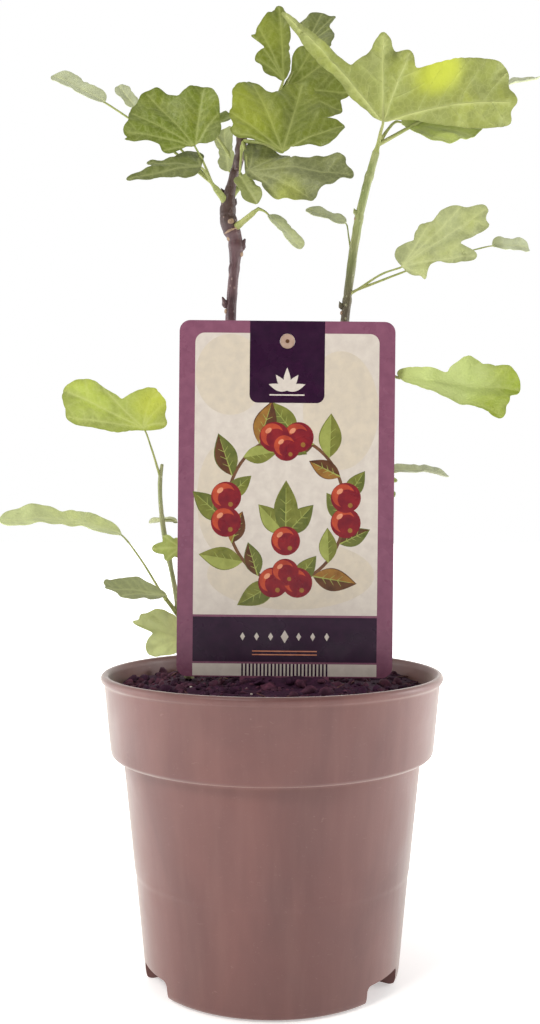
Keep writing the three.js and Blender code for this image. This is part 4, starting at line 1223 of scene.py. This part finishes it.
def crumbs(piece, count, sizes, stretch, rng, slots, sink=0.35):
    """Lumps strewn over the compost, inside its edge and clear of the label's stake."""
    points, faces = ball()
    for _ in range(count):
        radius = CRUMBS["middle"] * math.sqrt(rng.uniform(0, 1))
        x, y = radius * ray(rng.uniform(0, 2 * math.pi))
        size = sizes[0] * (sizes[1] / sizes[0]) ** (rng.uniform(0, 1) ** 2.2)
        aside, along = abs(y - LABEL["foot"][1]), abs(x - LABEL["foot"][0])
        if radius + size > CRUMBS["edge"]:
            continue
        if aside < CRUMBS["stake_depth"] + size and along < CRUMBS["stake_across"]:
            continue
        waves = rng.uniform(-2.2, 2.2, (3, 3))
        lumpy = 1 + 0.22 * np.sin(points @ waves.T * 1.7 + rng.uniform(0, 6, 3)).sum(1) / 1.4
        shape = points * lumpy[:, None] * (1, rng.uniform(0.6, 1), rng.uniform(0.5, 0.9))
        shape[:, 0] *= rng.uniform(*stretch)
        (c, s), (cl, sl) = ray(rng.uniform(0, 2 * math.pi)), ray(rng.uniform(-0.5, 0.5))
        shape = shape @ np.array([[cl, 0, sl], [0, 1, 0], [-sl, 0, cl]]).T
        shape = shape @ np.array([[c, -s, 0], [s, c, 0], [0, 0, 1]]).T
        spot = np.array([x, y, float(soil_height(x, y)) + size * (0.5 - sink)])
        piece.add(shape * size + spot, faces, slots[int(rng.integers(len(slots)))])


rng = np.random.default_rng(7)
piece = Piece("soil_crumbs")
crumbs(piece, 1150, (0.5, 2.6), (0.9, 1.5), rng, (0, 0, 1, 1, 2))
crumbs(piece, 90, (0.35, 0.8), (3.5, 8), rng, (3, 3, 1))
piece.build(compost, ["soil"], "compost", sharp=60)
piece = Piece("soil_perlite")
crumbs(piece, 9, (0.4, 0.9), (0.9, 1.2), rng, (0,), sink=0.2)
piece.build([perlite], ["soil"], "compost", sharp=60)

# ------------------------------------------------------------------ plant label

# Printed shapes are flat polygons on the card's front or back, in the order they are laid: each is
# a colour and a ring of points across and up from the middle of the card's lower edge.
INKS = dict(
    frame=((129, 80, 101), (119, 72, 93)),
    cream=((197, 187, 177), (207, 198, 187)),
    dark=((46, 14, 44), (36, 8, 37)),
    wash=((203, 191, 172), (193, 182, 166)),
    olive=((122, 124, 58), (100, 104, 46)),
    moss=((84, 92, 42), (104, 108, 54)),
    lime=((152, 158, 84), (136, 142, 72)),
    ochre=((150, 110, 52), (128, 88, 44)),
    umber=((96, 62, 40), (76, 48, 34)),
    crimson=((132, 34, 40), (104, 24, 38)),
    rust=((180, 74, 48), (152, 56, 42)),
    blush=((214, 146, 112), (196, 118, 88)),
    kraft=((176, 150, 134), (160, 132, 116)),
    stem=((112, 78, 54), (92, 62, 46)),
)
INK_NAMES = list(INKS)
PANEL = 34.1  # half the width of the printed panels
CARD_SHEET = 170  # millimetres across the card's UV sheet


def ring_of(cx, cy, rx, ry=None, count=28, start=0.0, end=2 * math.pi, turn=0.0):
    """Points round an ellipse, or along part of it, turned about its middle."""
    closed = abs(end - start) >= 2 * math.pi - 1e-6
    t = np.linspace(start, end, count, endpoint=not closed)
    loop = np.stack([rx * np.cos(t), (rx if ry is None else ry) * np.sin(t)], 1)
    return spun(loop, turn, cx, cy)


def plate(x0, y0, x1, y1, corners=(0, 0, 0, 0)):
    """A rectangle whose corners (from the lower left, anticlockwise) have those roundings."""
    out = []
    spots = ((x0, y0, 1, 1), (x1, y0, -1, 1), (x1, y1, -1, -1), (x0, y1, 1, -1))
    for k, ((x, y, sx, sy), r) in enumerate(zip(spots, corners)):
        if r == 0:
            out.append((x, y))
            continue
        for t in np.linspace(0, math.pi / 2, 8):
            a = math.pi + k * math.pi / 2 + t
            out.append((x + sx * r + r * math.cos(a), y + sy * r + r * math.sin(a)))
    return np.array(out)


def lens(x, y, aim, length, width, side=0):
    """A pointed oval leaf from its foot, or only its left (1) or right (-1) half."""
    t = np.linspace(0, 1, 12)
    bulge = width / 2 * np.sin(math.pi * t**0.85)
    upper = np.stack([t * length, bulge * (side != -1)], 1)
    lower = np.stack([t * length, -bulge * (side != 1)], 1)[::-1]
    return spun(np.concatenate([upper, lower[1:-1]]), aim, x, y)


def stroke(points, widths):
    """A band along a line of points."""
    points = np.asarray(points, float)
    out = leftwards(points) * (np.asarray(widths) / 2)[:, None]
    return np.concatenate([points + out, (points - out)[::-1]])


def printed_leaf(x, y, aim, length, width, inks):
    yield inks[0], lens(x, y, aim, length, width)
    yield inks[1], lens(x, y, aim, length * 0.97, width * 0.92, 1)
    foot = np.array([x, y])
    tip = foot + 0.86 * length * ray(aim)
    yield "lime", stroke(np.linspace(foot, tip, 8), np.linspace(0.5, 0.16, 8))
    for share in (0.25, 0.45, 0.65):
        fork = (1 - share) * foot + share * tip
        for side in (1, -1):
            end = fork + 0.3 * width * ray(aim + side * 0.85)
            yield "lime", stroke(np.linspace(fork, end, 4), np.linspace(0.3, 0.12, 4))


def printed_berry(x, y, size):
    for ink, across, up, wide, high, count, turn in (("crimson", 0, 0, 1, 1, 28, 0),
            ("rust", -0.16, 0.14, 0.76, 0.76, 28, 0), ("crimson", 0.12, -0.1, 0.66, 0.66, 28, 0),
            ("blush", -0.4, 0.42, 0.24, 0.15, 14, 0.7), ("ochre", 0.3, -0.5, 0.16, 0.16, 10, 0)):
        spot = (x + across * size, y + up * size)
        yield ink, ring_of(*spot, wide * size, high * size, count, turn=turn)


def front_print():
    """Frame, panel, tab and band of the front, with a wreath of leaves and berries."""
    yield "cream", plate(-PANEL, 23, PANEL, 127.4, (0, 0, 3.5, 3.5))
    for x, y, wide, high in ((-21, 112, 17, 16), (20, 99, 16, 22), (2, 38, 31, 13),
            (-24, 66, 9, 20)):
        yield "wash", ring_of(x, y, min(wide, 34 - abs(x)), min(high, 127 - y), 48)
    middle, across, up = 62, 22.5, 27.5
    yield "stem", ring_of(0, middle, across, up, 72)
    yield "cream", ring_of(0, middle, across - 1.2, up - 1.2, 72)
    tints = (("moss", "olive"), ("umber", "ochre"), ("olive", "lime"), ("moss", "umber"),
        ("olive", "moss"))
    count = 20
    for i in range(count):
        c, s = ray(2 * math.pi * (i + 0.5) / count)
        climb = 1 if c >= 0 else -1
        lean = (0.72 if i % 2 else -0.72) * climb
        size = 16.5 if (lean < 0) == (climb > 0) else 13
        size = min(size, 12.5) if abs(c) > 0.8 and lean < 0 else size
        aim = math.atan2(climb * up * c, -climb * across * s) + lean
        yield from printed_leaf(across * c, middle + up * s, aim, size, size * 0.52, tints[i % 5])
    for k in range(4):
        for off, grown, size in ((-0.2, 1, 5.6), (0.2, 1, 5.6), (0, 0.84, 5)):
            if off or k % 2:
                c, s = ray(k * math.pi / 2 + off * (1 if k % 2 else 0.85))
                yield from printed_berry(across * grown * c, middle + up * grown * s, size)
    for side in (1, -1):
        yield from printed_leaf(0, 53, math.pi / 2 - side * 0.75, 15, 8, tints[1 - side])
    yield from printed_leaf(0, 53, math.pi / 2, 20, 9, tints[4])
    yield from printed_berry(0, 50.5, 5.4)
    yield "dark", plate(-13.9, 101.6, 13.9, 132, (3, 3, 0, 0))
    for k in range(5):
        yield "cream", lens(0, 106.2, math.pi / 2 + (k - 2) * 0.62, 8.6 if k == 2 else 7.2, 2.6)
    yield "cream", plate(-6.5, 104.3, 6.5, 104.8)
    yield "dark", plate(-PANEL, 5.6, PANEL, 22.2)
    for k in range(7):
        x, size = (k - 3) * 5.2, 2.4 if k == 3 else 1.5
        diamond = [(x - 0.6 * size, 15), (x, 15 - size), (x + 0.6 * size, 15), (x, 15 + size)]
        yield "cream", np.array(diamond)
    for y in (9.4, 8.1):
        yield "blush", plate(-12, y, 12, y + 0.4)
    yield "cream", plate(-PANEL, 0.4, PANEL, 4.9)
    for k in range(24):
        x = (k - 11.5) * 1.36
        yield "dark", plate(x - 0.34, 0.4, x + 0.34, 4.9)


def back_print():
    """The back: a bare panel with three plain signs for sun, water and warmth."""
    yield "cream", plate(-PANEL, 8, PANEL, 120, (3.5, 3.5, 3.5, 3.5))
    for k, x in enumerate((-20, 0, 20)):
        yield "dark", ring_of(x, 98, 7.6, count=40)
        yield "cream", ring_of(x, 98, 7.1, count=40)
        if k == 0:
            yield "ochre", ring_of(x, 98, 2.4)
            for i in range(8):
                c, s = ray(i * math.pi / 4)
                beam = [(x + reach * c, 98 + reach * s) for reach in (3.3, 5.2)]
                yield "ochre", stroke(beam, (0.7, 0.5))
        elif k == 1:
            arc = ring_of(x, 96.4, 2.9, 2.9, 20, math.radians(150), math.radians(390))
            yield "frame", np.concatenate([[(x, 102.6)], arc])
        else:
            yield "rust", ring_of(x, 94.6, 1.8)
            yield "rust", plate(x - 0.8, 95, x + 0.8, 102.6, (0, 0, 0.8, 0.8))
    for k in range(9):
        y = 80 - 7 * k
        yield "wash", plate(-28, y, 28 - (k % 3) * 9, y + 1.6, (0.8, 0.8, 0.8, 0.8))
    yield "dark", plate(-PANEL, 8, PANEL, 14, (3.5, 3.5, 0, 0))


def stand(across, depth, up):
    """Points of the card where the label stands."""
    c, s = ray(math.radians(LABEL["lean"]))
    depth = np.broadcast_to(depth, np.shape(across))
    return np.stack([c * across + s * up, depth, -s * across + c * up], -1) + LABEL["foot"]


def card_outline():
    """The card and its stake, anticlockwise, and the punched hole."""
    half, top, corner = LABEL["width"] / 2, LABEL["height"], LABEL["corner"]
    stake, shoulder = LABEL["stake"], -LABEL["shoulder"]
    card = plate(-half, 0, half, top, (corner,) * 4)
    foot = [(-stake, 0), (-stake, shoulder), (0, -LABEL["tip"]), (stake, shoulder), (stake, 0)]
    low = int(np.argmax(card[:, 0] > 0))
    hole = ring_of(0, top - LABEL["hole_below_top"], LABEL["hole"], count=40)
    return np.concatenate([card[:low], foot, card[low:]]), hole


def printed_side(piece, shapes, side):
    """The front (1) or back (-1) of the card, cut along its printed shapes."""
    outline, hole = card_outline()
    points, faces = cut_flat([outline, *(ring for _, ring in shapes), hole], [], [], 1e-5)
    faces = faces[~within(points[faces].mean(1), hole)]
    slots = np.full(len(faces), INK_NAMES.index("frame"))
    for ink, ring in shapes:
        slots[within(points[faces].mean(1), ring)] = INK_NAMES.index(ink)
    sheet = (points - points.min(0)) / CARD_SHEET + (0.27 - 0.25 * side, 0.02)
    made = stand(side * points[:, 0], -side * LABEL["thickness"] / 2, points[:, 1])
    piece.add(made, faces, slots, sheet[faces])


def ink_material(name):
    colour, second = INKS[name]
    n = Nodes("print_" + name)
    n.set(Base_Color=n.mix(n.patches(260, 4, 0.36, 0.66), linear(colour), linear(second)))
    n.set(Roughness=n.patches(90, 3, 0.35, 0.65, 0.24, 0.36), Specular_IOR_Level=0.22)
    n.bumps((n.noise(60, 2), 0.08), (n.noise(2400, 2), 0.01))
    return n.material


piece = Piece("label_card")
printed_side(piece, list(front_print()), 1)
printed_side(piece, list(back_print()), -1)
for loop in card_outline():
    # the rim of the card, and the wall of its hole
    depth, count = LABEL["thickness"] / 2, len(loop)
    i = np.arange(count)
    k = (i + 1) % count
    rim = np.stack([i, i + count, k + count, k], 1)
    share = 0.03 + 0.1 * np.stack([i, i, i + 1, i + 1], 1) / count
    sheet = np.stack([share, 0.03 + 0.03 * np.broadcast_to([0, 1, 1, 0], rim.shape)], 2)
    both = [stand(loop[:, 0], y, loop[:, 1]) for y in (-depth, depth)]
    piece.add(np.concatenate(both), rim, INK_NAMES.index("cream"), sheet)
centre = LABEL["height"] - LABEL["hole_below_top"]
for radius, depth, ink in ((LABEL["hole"] - 0.06, 0.28, "kraft"), (0.75, 0.31, "umber")):
    # the punched disc that is still in the hole, and the dark dot on it
    disc = np.concatenate([ring_of(0, 0, radius, count=32), [(0, 0)]])
    i = np.arange(32)
    fan = np.stack([i, (i + 1) % 32, np.full(32, 32)], 1)
    for side in (1, -1):
        spot = disc / CARD_SHEET + (0.1 + 0.02 * (side < 0), 0.1 + 0.04 * (ink == "umber"))
        made = stand(side * disc[:, 0], -side * depth, centre + disc[:, 1])
        piece.add(made, fan, INK_NAMES.index(ink), spot[fan])
piece.build([ink_material(name) for name in INK_NAMES], ["plant_label"], "label_plastic", 30, True)

# ------------------------------------------------------------------ floor, light and camera


def stage_floor():
    """A pale floor that shows soft shadow round the pot and turns plain white further out."""
    size = 6.0
    mesh = bpy.data.meshes.new("floor")
    corners = [(-size, -size, 0), (size, -size, 0), (size, size, 0), (-size, size, 0)]
    mesh.from_pydata(corners, [], [(0, 1, 2, 3)])
    floor = in_scene("floor", mesh)
    floor.location = (0, 0, -0.0002)
    paint = Nodes("floor_paint")
    distance = paint.add("ShaderNodeVectorMath", {0: paint.place()}, operation="LENGTH")
    glow = paint.span(distance.outputs["Value"], 0.045, 0.32, 0.42, 1.0)
    paint.set(Base_Color=linear((240, 239, 237)), Roughness=0.8, Specular_IOR_Level=0.0)
    paint.set(Emission_Color=(1, 1, 1, 1), Emission_Strength=glow)
    mesh.materials.append(paint.material)


def studio_world():
    """A white room whose light comes mostly from behind and from the sides of the object."""
    world = bpy.data.worlds.new("studio")
    world.use_nodes = True
    nodes = world.node_tree.nodes
    shown, end = nodes["Background"], nodes["World Output"]
    shown.inputs["Color"].default_value = (1, 1, 1, 1)
    kinds = ("Background", "TexCoord", "SeparateXYZ", "MapRange", "LightPath", "MixShader")
    lit, towards, parts, span, rays, mix = (nodes.new("ShaderNode" + kind) for kind in kinds)
    for name, value in (("From Min", -0.75), ("From Max", 0.35), ("To Min", 0.24), ("To Max", 1.0)):
        span.inputs[name].default_value = value
    for start, socket in (
        (towards.outputs["Generated"], parts.inputs[0]),
        (parts.outputs["Y"], span.inputs["Value"]),
        (span.outputs[0], lit.inputs["Strength"]),
        (rays.outputs["Is Camera Ray"], mix.inputs[0]),
        (lit.outputs[0], mix.inputs[1]),
        (shown.outputs[0], mix.inputs[2]),
        (mix.outputs[0], end.inputs["Surface"]),
    ):
        world.node_tree.links.new(start, socket)
    bpy.context.scene.world = world


LIT_POINT = (0, 0, 0.18)


def area_light(name, place, size, power, colour=(1, 1, 1)):
    lamp = bpy.data.lights.new(name, "AREA")
    lamp.shape, lamp.size, lamp.energy, lamp.color = "DISK", size, power, colour
    item = in_scene(name, lamp)
    item.location = place
    aim = Vector(np.array(LIT_POINT) - np.array(place))
    item.rotation_euler = aim.to_track_quat("-Z", "Y").to_euler()


stage_floor()
studio_world()
area_light("key", (-0.5, -0.7, 0.95), 0.3, 5.6, (1, 0.98, 0.95))
area_light("left", (-0.75, 0.1, 0.25), 0.5, 2.4)
area_light("right", (0.75, 0.1, 0.25), 0.5, 3.2)
bpy.context.scene.view_settings.view_transform = "Standard"

lens_data = bpy.data.cameras.new("camera")
lens_data.lens, lens_data.sensor_width, lens_data.clip_start = 40.76, 36, 0.01
camera = in_scene("camera", lens_data)
camera.location = (-0.00077, -0.445, 0.175)
camera.rotation_euler = (math.pi / 2, 0, 0)
bpy.context.scene.camera = camera
